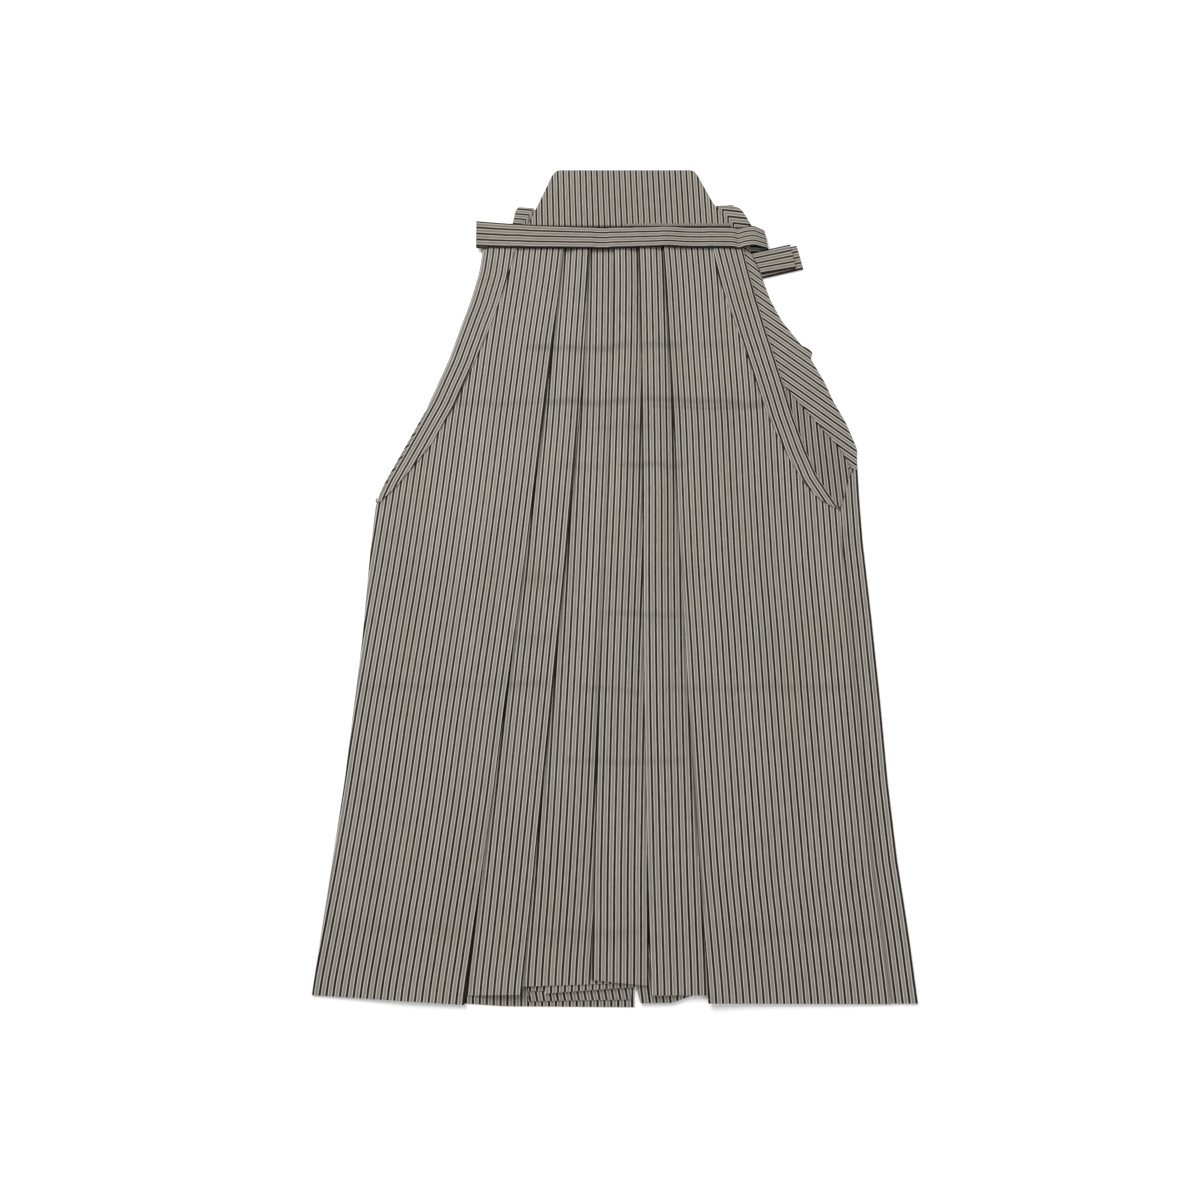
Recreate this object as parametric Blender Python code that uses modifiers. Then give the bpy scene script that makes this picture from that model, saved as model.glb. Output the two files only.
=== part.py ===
"""Divided hakama laid flat on a table with its front up.

The garment lies with its waist towards +Y and its hem towards -Y. Every piece of
cloth is a thin wall through sections, one section for each height in ROWS, and the
pieces are stacked on each other in levels that start at the table. Tables are in
millimetres and the model is in metres.
"""
import math
from collections import namedtuple

import bpy
import numpy as np

MM = 0.001

CLOTH = 1.0               # thickness of one layer of cloth
AIR = 0.4                 # space between two layers that lie on each other
LEVEL = CLOTH + AIR       # height from one layer to the next
SEAM = 0.3                # space between two pieces at a seam
FOLD_POINTS = 2           # points added round the turn of a fold

FRONT_TOP = 402.0         # upper edge of the fronts, under the front himo
BACK_TOP = 408.6          # upper edge of the backs, under the back board
HEM = -480.0              # mean height of the hem
HEM_DRIFT = 100.0         # length above the hem over which the sections slant to it
CROTCH = 10.0             # height where the two legs part
WRAP_LEFT = 22.0          # cloth of the left front that turns under the garment
WRAP_RETURN = 10.0        # cloth of the right back that turns under the garment
WRAP_HEM = -489.5         # hem of the cloth that wraps round the right side
BOARD_THICKNESS = 5.0     # back board with its cover
TIE_THICKNESS = 2.4       # doubled tie where it leaves the back board

# Heights of the sections through the fronts and the backs.
ROWS = (402, 372, 340, 306, 270, 220, 176, 136, 98, 66, 37, -20, -115, -230, -345,
        -420, -480)

# Lines that the pleat edges follow down the front, as distances from the middle.
PleatRow = namedtuple("PleatRow", "height pleat1 pleat2 pleat3 pleat4 pleat5 centre_end")
PLEAT_LINES = (
    PleatRow(402, -56.0, -25.0, 4.0, 33.0, 62.5, 57.5),
    PleatRow(203, -74.5, -34.0, 1.5, 35.5, 70.0, 52.5),
    PleatRow(30, -93.0, -48.0, -6.5, 34.5, 75.5, 48.0),
    PleatRow(-171, -116.0, -65.0, -15.5, 34.0, 82.0, 42.5),
    PleatRow(-480, -151.0, -93.0, -23.0, 37.5, 95.5, 34.5),
)

# Depth of each pleat's hidden return at the waist and at the hem.
Depth = namedtuple("Depth", "waist hem")
PLEAT_DEPTH = {
    1: Depth(12.0, 44.0),
    2: Depth(10.0, 32.0),
    3: Depth(9.0, 24.0),
    4: Depth(10.0, 28.0),
    5: Depth(12.0, 44.0),
}

# Outlines, as height and distance from the middle.
Edge = namedtuple("Edge", "height x")
LEFT_FOLD = (
    Edge(402, -156.5), Edge(372, -158), Edge(345, -161), Edge(306, -170),
    Edge(280, -178), Edge(227, -193.5), Edge(175, -213), Edge(124, -237),
    Edge(74, -261), Edge(50, -270), Edge(0, -273), Edge(-115, -276.5),
    Edge(-268, -286), Edge(-390, -297), Edge(-480, -305.5),
)
LEFT_FOLD_INNER = (
    Edge(402, -110), Edge(383, -116), Edge(336, -127), Edge(292, -139.5),
    Edge(260, -149.5), Edge(220, -165), Edge(169, -184.5), Edge(115, -212.5),
    Edge(66, -248.5), Edge(48, -266),
)
RIGHT_FOLD = (
    Edge(402, 158), Edge(376, 162), Edge(347, 167.5), Edge(308, 175.5),
    Edge(264, 185.5), Edge(220, 196.5), Edge(157, 212), Edge(115, 224),
    Edge(81, 236), Edge(55, 250.5), Edge(37, 261), Edge(-30, 260.5),
    Edge(-113, 262.5), Edge(-244, 266.5), Edge(-369, 271.5), Edge(-480, 280.5),
)
RIGHT_FOLD_INNER = (
    Edge(402, 120), Edge(379, 124.5), Edge(334, 131), Edge(277, 148),
    Edge(223, 164), Edge(169, 178.5), Edge(130, 193), Edge(100, 206),
    Edge(71, 221.5), Edge(52, 236.5), Edge(40, 256),
)
RIGHT_OUTLINE = (
    Edge(406, 158), Edge(395, 163.5), Edge(372, 173), Edge(344, 182.5), Edge(309, 192.5),
    Edge(280, 205.5), Edge(253, 224), Edge(247, 228), Edge(243.5, 236),
    Edge(238, 240), Edge(231, 237), Edge(200, 252), Edge(175, 261),
    Edge(149, 273.5), Edge(124, 282), Edge(114, 285), Edge(101, 284),
    Edge(50, 283.5), Edge(0, 284), Edge(-92, 288), Edge(-182, 291),
    Edge(-268, 293), Edge(-350, 297), Edge(-430, 304), Edge(-480, 307.5),
)
BIAS_EDGE = (
    Edge(395, 128), Edge(347, 138), Edge(308, 146), Edge(264, 156),
    Edge(236, 168), Edge(196, 204), Edge(180, 215), Edge(146, 241),
    Edge(115, 265.5), Edge(93, 278),
)
WRAP_EDGE = (Edge(90, 278.5), Edge(71, 271.5), Edge(37, 261))
GUSSET_LEFT_FOLD = (Edge(CROTCH, 10.0), Edge(-478, -88.0))
GUSSET_RIGHT_END = (Edge(CROTCH, 36.0), Edge(-478, 83.0))
CENTRE_RETURN = (Edge(402, 45.5), Edge(30, 30.0), Edge(-480, -69.5))
BACK_CENTRE = (Edge(406, 26.0), Edge(CROTCH, 24.5), Edge(-493, 21.0))
RIGHT_INNER = (Edge(406, 26.3), Edge(CROTCH, 24.8), Edge(-420, 22.5), Edge(-480, 27.0))

# Hems, as distance from the middle and height.
Hem = namedtuple("Hem", "x height")
BACK_LEFT_HEM = (Hem(-290, -480), Hem(-151, -489.5), Hem(-110, -492), Hem(21, -493))
BACK_RIGHT_HEM = (Hem(25, -478), Hem(150, -478), Hem(300, -489))
GUSSET_RIGHT_HEM = (Hem(31, -489), Hem(59, -489), Hem(79, -482.5), Hem(83, -481))

# Back board: outline of its right half and of its left half, from the lower corner up.
Corner = namedtuple("Corner", "x height")
BOARD_LEFT = (Corner(-104, 409), Corner(-92, 438), Corner(-78, 472.5))
BOARD_RIGHT = (Corner(148, 409), Corner(127, 443), Corner(113.5, 472.5))
BOARD_TOP = 490.0
BOARD_TOP_LEFT = -67.0
BOARD_TOP_RIGHT = 102.5
BOARD_ROUNDING = 9.0
STUB_LEFT = (Corner(-123, 409), Corner(-104.5, 409), Corner(-95.8, 430),
             Corner(-98, 436.5), Corner(-114.5, 437), Corner(-118.5, 431))
STUB_RIGHT = (Corner(148.5, 409), Corner(176, 409), Corner(173.5, 413), Corner(165.5, 429.5),
              Corner(160.5, 436.5), Corner(150, 441.5), Corner(129.4, 440))

# Front himo: the stretch sewn to the fronts and the tie laid back over it.
HimoRow = namedtuple("HimoRow", "x lower upper lift slant")
HIMO_ROWS = (
    HimoRow(-165.5, 380.0, 408.5, 6.0, 0.0),
    HimoRow(-125, 378.0, 407.0, 3.0, 0.0),
    HimoRow(-85, 377.0, 406.5, 0.8, 0.0),
    HimoRow(0, 376.5, 405.5, 0.0, 0.0),
    HimoRow(60, 377.5, 405.5, 0.0, 0.0),
    HimoRow(156, 377.5, 405.5, 0.0, 0.0),
    HimoRow(172, 377.5, 405.0, 0.0, 1.0),
    HimoRow(191, 376.6, 402.5, 0.0, 4.0),
)
BAND_START = -152.0
BAND_END = 155.0
TIE_START = -165.5
TIE_END = 191.0
LOOP_HEIGHT = 5.6         # open loop at the tie's right end
LOOP_RETURN = 17.0        # part of the tie that runs back under the loop

# Folded end of the back himo that sticks out at the right.
BUNDLE_ANGLE = 13.0       # degrees above +X
Fold = namedtuple("Fold", "start_upper start_lower end upper lower")
BUNDLE_FOLDS = (
    Fold(5.4, 8.3, 60.8, 28.5, -1.8),
    Fold(5.4, 7.6, 52.0, 31.6, 1.9),
)
BUNDLE_ORIGIN = (176.5, 339.5)

CLOTH_COLOUR = (0.30, 0.275, 0.245, 1.0)
CLOTH_SHADE = (0.25, 0.23, 0.205, 1.0)


def ease(start, end, value):
    """0 before start and 1 after end, with a soft change between them."""
    share = min(max((value - start) / (end - start), 0.0), 1.0)
    return share * share * (3.0 - 2.0 * share)


def read(table, key, key_name, value_name):
    """Value of a table's column where its key column has the given number."""
    keys = [getattr(row, key_name) for row in table]
    values = [getattr(row, value_name) for row in table]
    if keys[0] > keys[-1]:
        keys.reverse()
        values.reverse()
    return float(np.interp(key, keys, values))


def edge_at(table, height):
    return read(table, height, "height", "x")


def hem_at(table, x):
    return read(table, x, "x", "height")


def pleat_at(number, height):
    return read(PLEAT_LINES, height, "height", f"pleat{number}")


def pleat_depth(number, height):
    """Depth of a pleat's return, which grows from the waist to the hem."""
    share = (FRONT_TOP - height) / (FRONT_TOP - HEM)
    depth = PLEAT_DEPTH[number]
    return depth.waist + (depth.hem - depth.waist) * share


def legs_parted(height):
    """1 where the gussets lie between fronts and backs, 0 above the crotch."""
    return 1.0 - ease(CROTCH + 8.0, CROTCH + 110.0, height)


def left_underlay(x, height):
    """Levels of hidden cloth between the left back and the left front."""
    gusset = edge_at(GUSSET_LEFT_FOLD, height)
    lining = edge_at(CENTRE_RETURN, height)
    over_gusset = 2.0 * legs_parted(height) * ease(gusset - 62.0, gusset - 3.0, x)
    over_return = ease(lining - 50.0, lining - 3.0, x)
    return over_gusset, over_return


def right_underlay(x, height):
    """Levels of hidden cloth between the right back and the right front."""
    gusset = edge_at(GUSSET_RIGHT_END, height)
    centre_end = read(PLEAT_LINES, height, "height", "centre_end")
    over_gusset = 2.0 * legs_parted(height) * (1.0 - ease(gusset + 3.0, gusset + 62.0, x))
    over_centre = 2.0 * (1.0 - ease(centre_end + 3.0, centre_end + 36.0, x))
    return over_gusset + over_centre


def right_outer_level(x, height):
    """Level of the right front's outer panel, which slopes down to the side."""
    side = edge_at(RIGHT_FOLD, height)
    flat_to = pleat_at(5, height) + pleat_depth(5, height) + 6.0
    share = min(max((x - flat_to) / (side - flat_to), 0.0), 1.0)
    over_bias = ease(150.0, 200.0, height)
    return 1.0 + right_underlay(x, height) + 2.0 - share * (2.0 - over_bias)


def left_outer_level(x, height):
    """Level of the left front's outer panel, which slopes down to the side."""
    outer = edge_at(LEFT_FOLD, height)
    flat_from = pleat_at(1, height) - pleat_depth(1, height) - 6.0
    share = min(max((x - outer) / (flat_from - outer), 0.0), 1.0)
    return 1.0 + sum(left_underlay(x, height)) + 2.0 * share


def level_height(level):
    """Height of the middle of a layer above the table."""
    return level * LEVEL + CLOTH / 2.0


def section_run(start, end, count):
    """Places across a stretch of cloth, its two ends included."""
    return [start + (end - start) * step / (count - 1) for step in range(count)]


def fold_turn(x, lower, upper, outward, rising):
    """Points round a fold whose outer face reaches x, from one layer to the other."""
    radius = (upper - lower) / 2.0
    middle = (upper + lower) / 2.0
    centre = x - outward * (radius + CLOTH / 2.0)
    points = []
    for step in range(FOLD_POINTS + 2):
        angle = math.pi * step / (FOLD_POINTS + 1)
        swing = -math.cos(angle) if rising else math.cos(angle)
        points.append((centre + outward * radius * math.sin(angle), middle + radius * swing))
    return points


def front_hem_drift(height):
    """Share of its own hem height that the cloth has taken at a section."""
    return ease(HEM + HEM_DRIFT, HEM, height)


def with_hem(points, hems, height):
    """Gives each point of a section its height, drifting to its own hem."""
    drift = front_hem_drift(height)
    placed = []
    for (x, z), hem in zip(points, hems):
        placed.append((x, height + (hem - HEM) * drift, z))
    return placed


class Section:
    """A line through the cloth from one edge to the other, with a hem for each point."""

    def __init__(self):
        self.points = []
        self.hems = []

    def run(self, start, end, count, level, hem_start, hem_end):
        """A stretch between two folds. level gives the layer's level at a place."""
        for step, x in enumerate(section_run(start, end, count)):
            share = step / (count - 1)
            self.points.append((x, level_height(level(x))))
            self.hems.append(hem_start + (hem_end - hem_start) * share)

    def turn(self, x, level_before, level_after, outward, hem):
        """A fold between the stretch before it and the one after it."""
        lower = level_height(min(level_before, level_after))
        upper = level_height(max(level_before, level_after))
        turn = fold_turn(x, lower, upper, outward, level_after > level_before)
        self.points.extend(turn)
        self.hems.extend([hem] * len(turn))


def turn_room(level_step=1.0):
    """Distance from a fold's outer face to where the straight cloth begins."""
    return level_step * LEVEL / 2.0 + CLOTH / 2.0 + 0.4


def left_front_section(height):
    """Left front from its seam under the garment to the end of the centre's return."""
    outer = edge_at(LEFT_FOLD, height)
    line1, line2, line3, line4 = (pleat_at(number, height) for number in (1, 2, 3, 4))
    depth1, depth2, depth3 = (pleat_depth(number, height) for number in (1, 2, 3))
    centre_end = read(PLEAT_LINES, height, "height", "centre_end")
    return_end = edge_at(CENTRE_RETURN, height)
    room = turn_room()

    def base(x):
        over_gusset, over_return = left_underlay(x, height)
        return 1.0 + over_gusset + over_return

    def outer_panel(x):
        return left_outer_level(x, height)

    def second_panel(x):
        return base(x) + 2.0 * ease(line1 + 1.0, line2 - depth2 - 2.0, x)

    def centre_panel(x):
        return base(x) + 2.0 * (1.0 - ease(line3 + depth3 + 1.0, line4 - 2.0, x))

    def centre_return(x):
        return 1.0 + left_underlay(x, height)[0]

    section = Section()
    section.run(outer + WRAP_LEFT, outer + room, 2, lambda x: 0.0, HEM - 1.0, HEM - 1.5)
    section.turn(outer, 0.0, outer_panel(outer), -1, HEM - 1.5)
    section.run(outer + room, line1 - room, 8, outer_panel, HEM - 1.5, HEM - 10.5)
    section.turn(line1, outer_panel(line1), base(line1) + 1.0, 1, HEM - 10.5)
    section.run(line1 - room, line1 - depth1 + room, 3, lambda x: base(x) + 1.0,
                HEM - 9.0, HEM - 4.0)
    section.turn(line1 - depth1, base(line1 - depth1) + 1.0, base(line1 - depth1), -1,
                 HEM - 3.5)
    section.run(line1 - depth1 + room, line2 - room, 9, second_panel, HEM - 3.0, HEM - 0.5)
    section.turn(line2, second_panel(line2), base(line2) + 1.0, 1, HEM - 0.5)
    section.run(line2 - room, line2 - depth2 + room, 3, lambda x: base(x) + 1.0,
                HEM, HEM + 4.0)
    section.turn(line2 - depth2, base(line2 - depth2) + 1.0, base(line2 - depth2), -1,
                 HEM + 5.0)
    section.run(line2 - depth2 + room, line3 + depth3 - room, 10, base,
                HEM + 6.0, HEM + 10.0)
    section.turn(line3 + depth3, base(line3 + depth3), base(line3 + depth3) + 1.0, 1,
                 HEM + 11.0)
    section.run(line3 + depth3 - room, line3 + room, 3, lambda x: base(x) + 1.0,
                HEM + 12.0, HEM + 13.5)
    section.turn(line3, base(line3) + 1.0, centre_panel(line3), -1, HEM + 13.7)
    section.run(line3 + room, centre_end - room, 8, centre_panel, HEM + 13.7, HEM + 8.0)
    section.turn(centre_end, base(centre_end), centre_return(centre_end), 1, HEM + 8.0)
    section.run(centre_end - room, return_end, 6, centre_return, HEM + 7.5, HEM + 0.3)
    return with_hem(section.points, section.hems, height)


def right_front_section(height):
    """Right front from the hidden end beside the centre to the side seam."""
    line4, line5 = (pleat_at(number, height) for number in (4, 5))
    depth4, depth5 = (pleat_depth(number, height) for number in (4, 5))
    side = edge_at(RIGHT_FOLD, height)
    room = turn_room()

    def base(x):
        return 1.0 + right_underlay(x, height)

    def fourth_panel(x):
        return base(x) + 1.0 - ease(line4 + depth4 + 2.0, line5 - 1.0, x)

    section = Section()
    section.run(line4 + depth4, line4 + room, 3, base, HEM + 2.0, HEM - 0.5)
    section.turn(line4, base(line4), fourth_panel(line4), -1, HEM - 1.0)
    section.run(line4 + room, line5 + depth5 - room, 10, fourth_panel, HEM - 1.0, HEM - 2.0)
    section.turn(line5 + depth5, base(line5 + depth5), base(line5 + depth5) + 1.0, 1,
                 HEM - 4.0)
    section.run(line5 + depth5 - room, line5 + room, 3, lambda x: base(x) + 1.0,
                HEM - 5.0, HEM - 8.0)
    section.turn(line5, base(line5) + 1.0, base(line5) + 2.0, -1, HEM - 9.0)
    section.run(line5 + room, side - SEAM / 2.0, 9,
                lambda x: right_outer_level(x, height), HEM - 9.0, HEM - 10.0)
    return with_hem(section.points, section.hems, height)


def left_gusset_section(height):
    """Left gusset, folded once, between the left back and the centre's return."""
    fold = edge_at(GUSSET_LEFT_FOLD, height)
    inner = edge_at(BACK_CENTRE, height) - 3.0
    room = turn_room()
    section = Section()
    section.run(inner, fold + room, 5, lambda x: 2.0, HEM + 6.0, HEM + 2.3)
    section.turn(fold, 2.0, 1.0, -1, HEM - 2.0)
    section.run(fold + room, inner, 5, lambda x: 1.0, HEM - 7.3, HEM - 5.5)
    return with_hem(section.points, section.hems, height)


def right_gusset_section(height):
    """Right gusset, folded once, between the right back and the right front."""
    fold = edge_at(RIGHT_INNER, height) + SEAM
    outer = edge_at(GUSSET_RIGHT_END, height)
    room = turn_room()
    section = Section()
    section.run(outer, fold + room, 6, lambda x: 2.0, HEM, HEM)
    section.turn(fold, 2.0, 1.0, -1, HEM)
    section.run(fold + room, outer, 6, lambda x: 1.0, HEM, HEM)
    drift = front_hem_drift(height)
    hems = [hem_at(GUSSET_RIGHT_HEM, x) + (x - fold) * 0.01 for x, _ in section.points]
    return [(x, height + (hem - HEM) * drift, z)
            for (x, z), hem in zip(section.points, hems)]


def back_section(left_edge, right_edge, hem_table, height):
    """One layer on the table, which reaches a little higher than the fronts."""
    risen = height + (BACK_TOP - FRONT_TOP) * ease(FRONT_TOP - 30.0, FRONT_TOP, height)
    drift = front_hem_drift(height)
    return [(x, risen + (hem_at(hem_table, x) - HEM) * drift, level_height(0.0))
            for x in section_run(left_edge(risen), right_edge(risen), 9)]


def hairpin_section(open_edge, outline, return_width, height, upper_level):
    """Upper layer, a fold at the right outline and a short return on the table."""
    room = turn_room()
    section = Section()
    section.run(open_edge, outline - room, 4, lambda x: upper_level, HEM, HEM)
    section.turn(outline, upper_level, 0.0, 1, HEM)
    section.run(outline - room, outline - return_width, 2, lambda x: 0.0, HEM, HEM)
    return with_hem(section.points, [WRAP_HEM] * len(section.points), height)


def wall_mesh(name, sections, thickness, across):
    """Closed wall through sections of the cloth's middle, with its rim closed."""
    outer_face = []
    inner_face = []
    for section in sections:
        points = [np.array(point) for point in section]
        last = len(points) - 1
        upper_row = []
        lower_row = []
        for index, point in enumerate(points):
            before = points[max(index - 1, 0)]
            after = points[min(index + 1, last)]
            normals = []
            for start, end in ((before, point), (point, after)):
                step = end - start
                flat = float(step[0] * across[0] + step[1] * across[1])
                length = math.hypot(flat, float(step[2]))
                if length > 1e-9:
                    normals.append((-step[2] / length, flat / length))
            side = sum(normal[0] for normal in normals) / len(normals)
            rise = sum(normal[1] for normal in normals) / len(normals)
            stretch = side * side + rise * rise
            shift = np.array((side * across[0], side * across[1], rise)) / stretch
            upper_row.append(point + shift * thickness / 2.0)
            lower_row.append(point - shift * thickness / 2.0)
        outer_face.append(upper_row)
        inner_face.append(lower_row)
    rows = len(sections)
    columns = len(sections[0])
    verts = [tuple(p * MM) for row in outer_face for p in row]
    verts += [tuple(p * MM) for row in inner_face for p in row]
    behind = rows * columns
    faces = []

    def square(a, b, c, d):
        faces.append((a, b, c))
        faces.append((a, c, d))

    for row in range(rows - 1):
        for column in range(columns - 1):
            corner = row * columns + column
            square(corner, corner + columns, corner + columns + 1, corner + 1)
            square(behind + corner, behind + corner + 1,
                   behind + corner + columns + 1, behind + corner + columns)
    for row in range(rows - 1):
        first = row * columns
        last = first + columns - 1
        square(first, behind + first, behind + first + columns, first + columns)
        square(last, last + columns, behind + last + columns, behind + last)
    for column in range(columns - 1):
        bottom = (rows - 1) * columns + column
        square(column, column + 1, behind + column + 1, behind + column)
        square(bottom, behind + bottom, behind + bottom + 1, bottom + 1)
    mesh = bpy.data.meshes.new(name)
    mesh.from_pydata(verts, [], faces)
    mesh.update()
    return mesh


def material(name, colour, roughness):
    made = bpy.data.materials.new(name)
    made.use_nodes = True
    shader = made.node_tree.nodes["Principled BSDF"]
    shader.inputs["Base Color"].default_value = colour
    shader.inputs["Roughness"].default_value = roughness
    shader.inputs["Metallic"].default_value = 0.0
    return made


def add_piece(name, mesh, colour=CLOTH_COLOUR):
    piece = bpy.data.objects.new(name, mesh)
    piece.data.materials.append(material(name, colour, 0.8))
    bpy.data.collections["hakama"].objects.link(piece)
    piece.data.shade_smooth()
    piece.data.set_sharp_from_angle(angle=math.radians(40.0))
    return piece


def add_wall(name, sections, thickness=CLOTH, across=(1.0, 0.0), colour=CLOTH_COLOUR):
    """Adds a wall whose sections run from the waist down and from left to right."""
    return add_piece(name, wall_mesh(name, sections, thickness, across), colour)


def add_slab(name, corners, thickness, rounding):
    """Flat piece with rounded edges that lies on the table."""
    verts = [(corner.x * MM, corner.height * MM, 0.0) for corner in corners]
    mesh = bpy.data.meshes.new(name)
    mesh.from_pydata(verts, [], [tuple(range(len(verts)))])
    mesh.update()
    piece = add_piece(name, mesh)
    wall = piece.modifiers.new("thickness", "SOLIDIFY")
    wall.thickness = thickness * MM
    wall.offset = 1.0
    soft = piece.modifiers.new("soft edges", "BEVEL")
    soft.width = rounding * MM
    soft.segments = 2
    soft.limit_method = "ANGLE"
    soft.angle_limit = math.radians(50.0)
    return piece


def make_backs():
    """The two backs, flat on the table, with a side fold and a side wrap at the right."""
    left_rows = [
        back_section(lambda y: edge_at(LEFT_FOLD, y) + WRAP_LEFT + SEAM,
                     lambda y: edge_at(BACK_CENTRE, y), BACK_LEFT_HEM, height)
        for height in ROWS]
    add_wall("back_left_leg", left_rows, colour=CLOTH_SHADE)
    right_rows = [
        back_section(lambda y: edge_at(RIGHT_INNER, y),
                     lambda y: edge_at(RIGHT_OUTLINE, y) - WRAP_RETURN - SEAM,
                     BACK_RIGHT_HEM, height)
        for height in ROWS]
    add_wall("back_right_leg", right_rows, colour=CLOTH_SHADE)
    fold_heights = (395, 372, 340, 306, 270, 247, 243.5, 238, 231, 220, 198, 176, 136, 114, 93)
    fold_rows = [
        hairpin_section(edge_at(BIAS_EDGE, height), edge_at(RIGHT_OUTLINE, height),
                        WRAP_RETURN, height, 1.0)
        for height in fold_heights]
    add_wall("back_right_side_fold", fold_rows)
    wrap_rows = []
    for height in [90] + [height for height in ROWS if height < 90]:
        open_edge = edge_at(WRAP_EDGE if height > 37 else RIGHT_FOLD, height)
        wrap_rows.append(hairpin_section(open_edge + SEAM / 2.0,
                                         edge_at(RIGHT_OUTLINE, height), WRAP_RETURN,
                                         height, 1.0))
    add_wall("back_right_side_wrap", wrap_rows)


def make_gussets():
    heights = [height for height in ROWS if height < CROTCH]
    add_wall("gusset_left", [left_gusset_section(height) for height in heights],
             colour=CLOTH_SHADE)
    add_wall("gusset_right", [right_gusset_section(height) for height in heights],
             colour=CLOTH_SHADE)


def make_fronts():
    add_wall("front_left_leg", [left_front_section(height) for height in ROWS])
    add_wall("front_right_leg", [right_front_section(height) for height in ROWS])


def make_side_folds():
    """The slanting folds that lie on the outer panels beside the side openings."""
    left_heights = [height for height in ROWS if height > 50] + [48]
    left_rows = []
    for height in left_heights:
        places = section_run(edge_at(LEFT_FOLD, height) + 0.4,
                             edge_at(LEFT_FOLD_INNER, height), 5)
        left_rows.append([(x, height, level_height(left_outer_level(x, height) + 1.0))
                          for x in places])
    add_wall("front_left_side_fold", left_rows)
    right_heights = [height for height in ROWS if height > 50] + [41]
    right_rows = []
    for height in right_heights:
        places = section_run(edge_at(RIGHT_FOLD_INNER, height),
                             edge_at(RIGHT_FOLD, height) - 0.4, 5)
        right_rows.append([(x, height, level_height(right_outer_level(x, height) + 1.0))
                           for x in places])
    add_wall("front_right_side_fold", right_rows)


def front_surface(x, height=FRONT_TOP - 12.0, reach=7.0):
    """Highest middle of the fronts and their side folds near a place at the waist."""
    highest = 0.0
    for section in (left_front_section(height), right_front_section(height)):
        highest = max([highest] + [z for px, _, z in section if abs(px - x) < reach])
    if x < edge_at(LEFT_FOLD_INNER, height) + reach:
        highest = max(highest, level_height(left_outer_level(x, height) + 1.0))
    if x > edge_at(RIGHT_FOLD_INNER, height) - reach:
        highest = max(highest, level_height(right_outer_level(x, height) + 1.0))
    return highest


def himo_height(x):
    """Height of the middle of the band that is sewn over the fronts' upper edge."""
    places = [min(max(x + step, BAND_START), BAND_END) for step in (-18, -9, 0, 9, 18)]
    return max(front_surface(x), sum(front_surface(place) for place in places) / 5.0) + LEVEL


def himo_row(x, share, z):
    """A point of the himo across its width, with its upper edge's lift and its end's slant."""
    lower = read(HIMO_ROWS, x, "x", "lower")
    upper = read(HIMO_ROWS, x, "x", "upper")
    lift = read(HIMO_ROWS, x, "x", "lift")
    slant = read(HIMO_ROWS, x, "x", "slant")
    return (x + slant * (0.5 - share), lower + (upper - lower) * share, z + lift * share)


def make_front_himo():
    """The band across the fronts and the tie that is folded back along it."""
    band_places = section_run(BAND_START, BAND_END, 31)
    band_rows = [[himo_row(x, share, himo_height(x)) for x in band_places]
                 for share in (1.0, 0.5, 0.0)]
    add_wall("front_himo_band", band_rows)
    room = turn_room()
    tie_places = [TIE_START + room, -158.0] + band_places
    start_height = himo_height(BAND_START)
    start_turn = fold_turn(TIE_START, start_height, start_height + LEVEL, -1, True)
    tie_rows = []
    for share in (1.0, 0.5, 0.0):
        row = [himo_row(BAND_START - 1.0, share, start_height)]
        row += [himo_row(x, share, z) for x, z in start_turn]
        row += [himo_row(x, share, himo_height(x) + LEVEL) for x in tie_places]
        top = himo_height(BAND_END) + LEVEL
        loop_room = LOOP_HEIGHT / 2.0 + CLOTH / 2.0
        row += [himo_row(x, share, top - drop)
                for x, drop in ((BAND_END + 9.0, 0.3), (BAND_END + 18.0, 0.1),
                                (BAND_END + 27.0, 0.2))]
        loop = fold_turn(TIE_END, top - LOOP_HEIGHT - 0.3, top - 0.3, 1, False)
        row += [himo_row(x, share, z) for x, z in loop]
        row += [himo_row(TIE_END - loop_room - LOOP_RETURN * step, share,
                         top - LOOP_HEIGHT - 0.3 - 0.5 * step)
                for step in (0.35, 0.7, 1.0)]
        tie_rows.append(row)
    add_wall("front_himo_tie", tie_rows)


def make_back_board():
    """The stiff back board with the roots of the two back ties."""
    corners = list(BOARD_LEFT)
    for turn, centre_x in ((1, BOARD_TOP_LEFT), (-1, BOARD_TOP_RIGHT)):
        start = 200.0 if turn == 1 else 90.0
        end = 90.0 if turn == 1 else -20.0
        for step in range(4):
            angle = math.radians(start + (end - start) * step / 3.0)
            corners.append(Corner(centre_x + turn * BOARD_ROUNDING * 0.3
                                  + BOARD_ROUNDING * math.cos(angle),
                                  BOARD_TOP - BOARD_ROUNDING
                                  + BOARD_ROUNDING * math.sin(angle)))
    corners += list(reversed(BOARD_RIGHT))
    corners.reverse()
    add_slab("back_board", corners, BOARD_THICKNESS, 1.4)
    add_slab("back_himo_left", STUB_LEFT, TIE_THICKNESS, 0.8)
    add_slab("back_himo_right", STUB_RIGHT, TIE_THICKNESS, 0.8)


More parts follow.
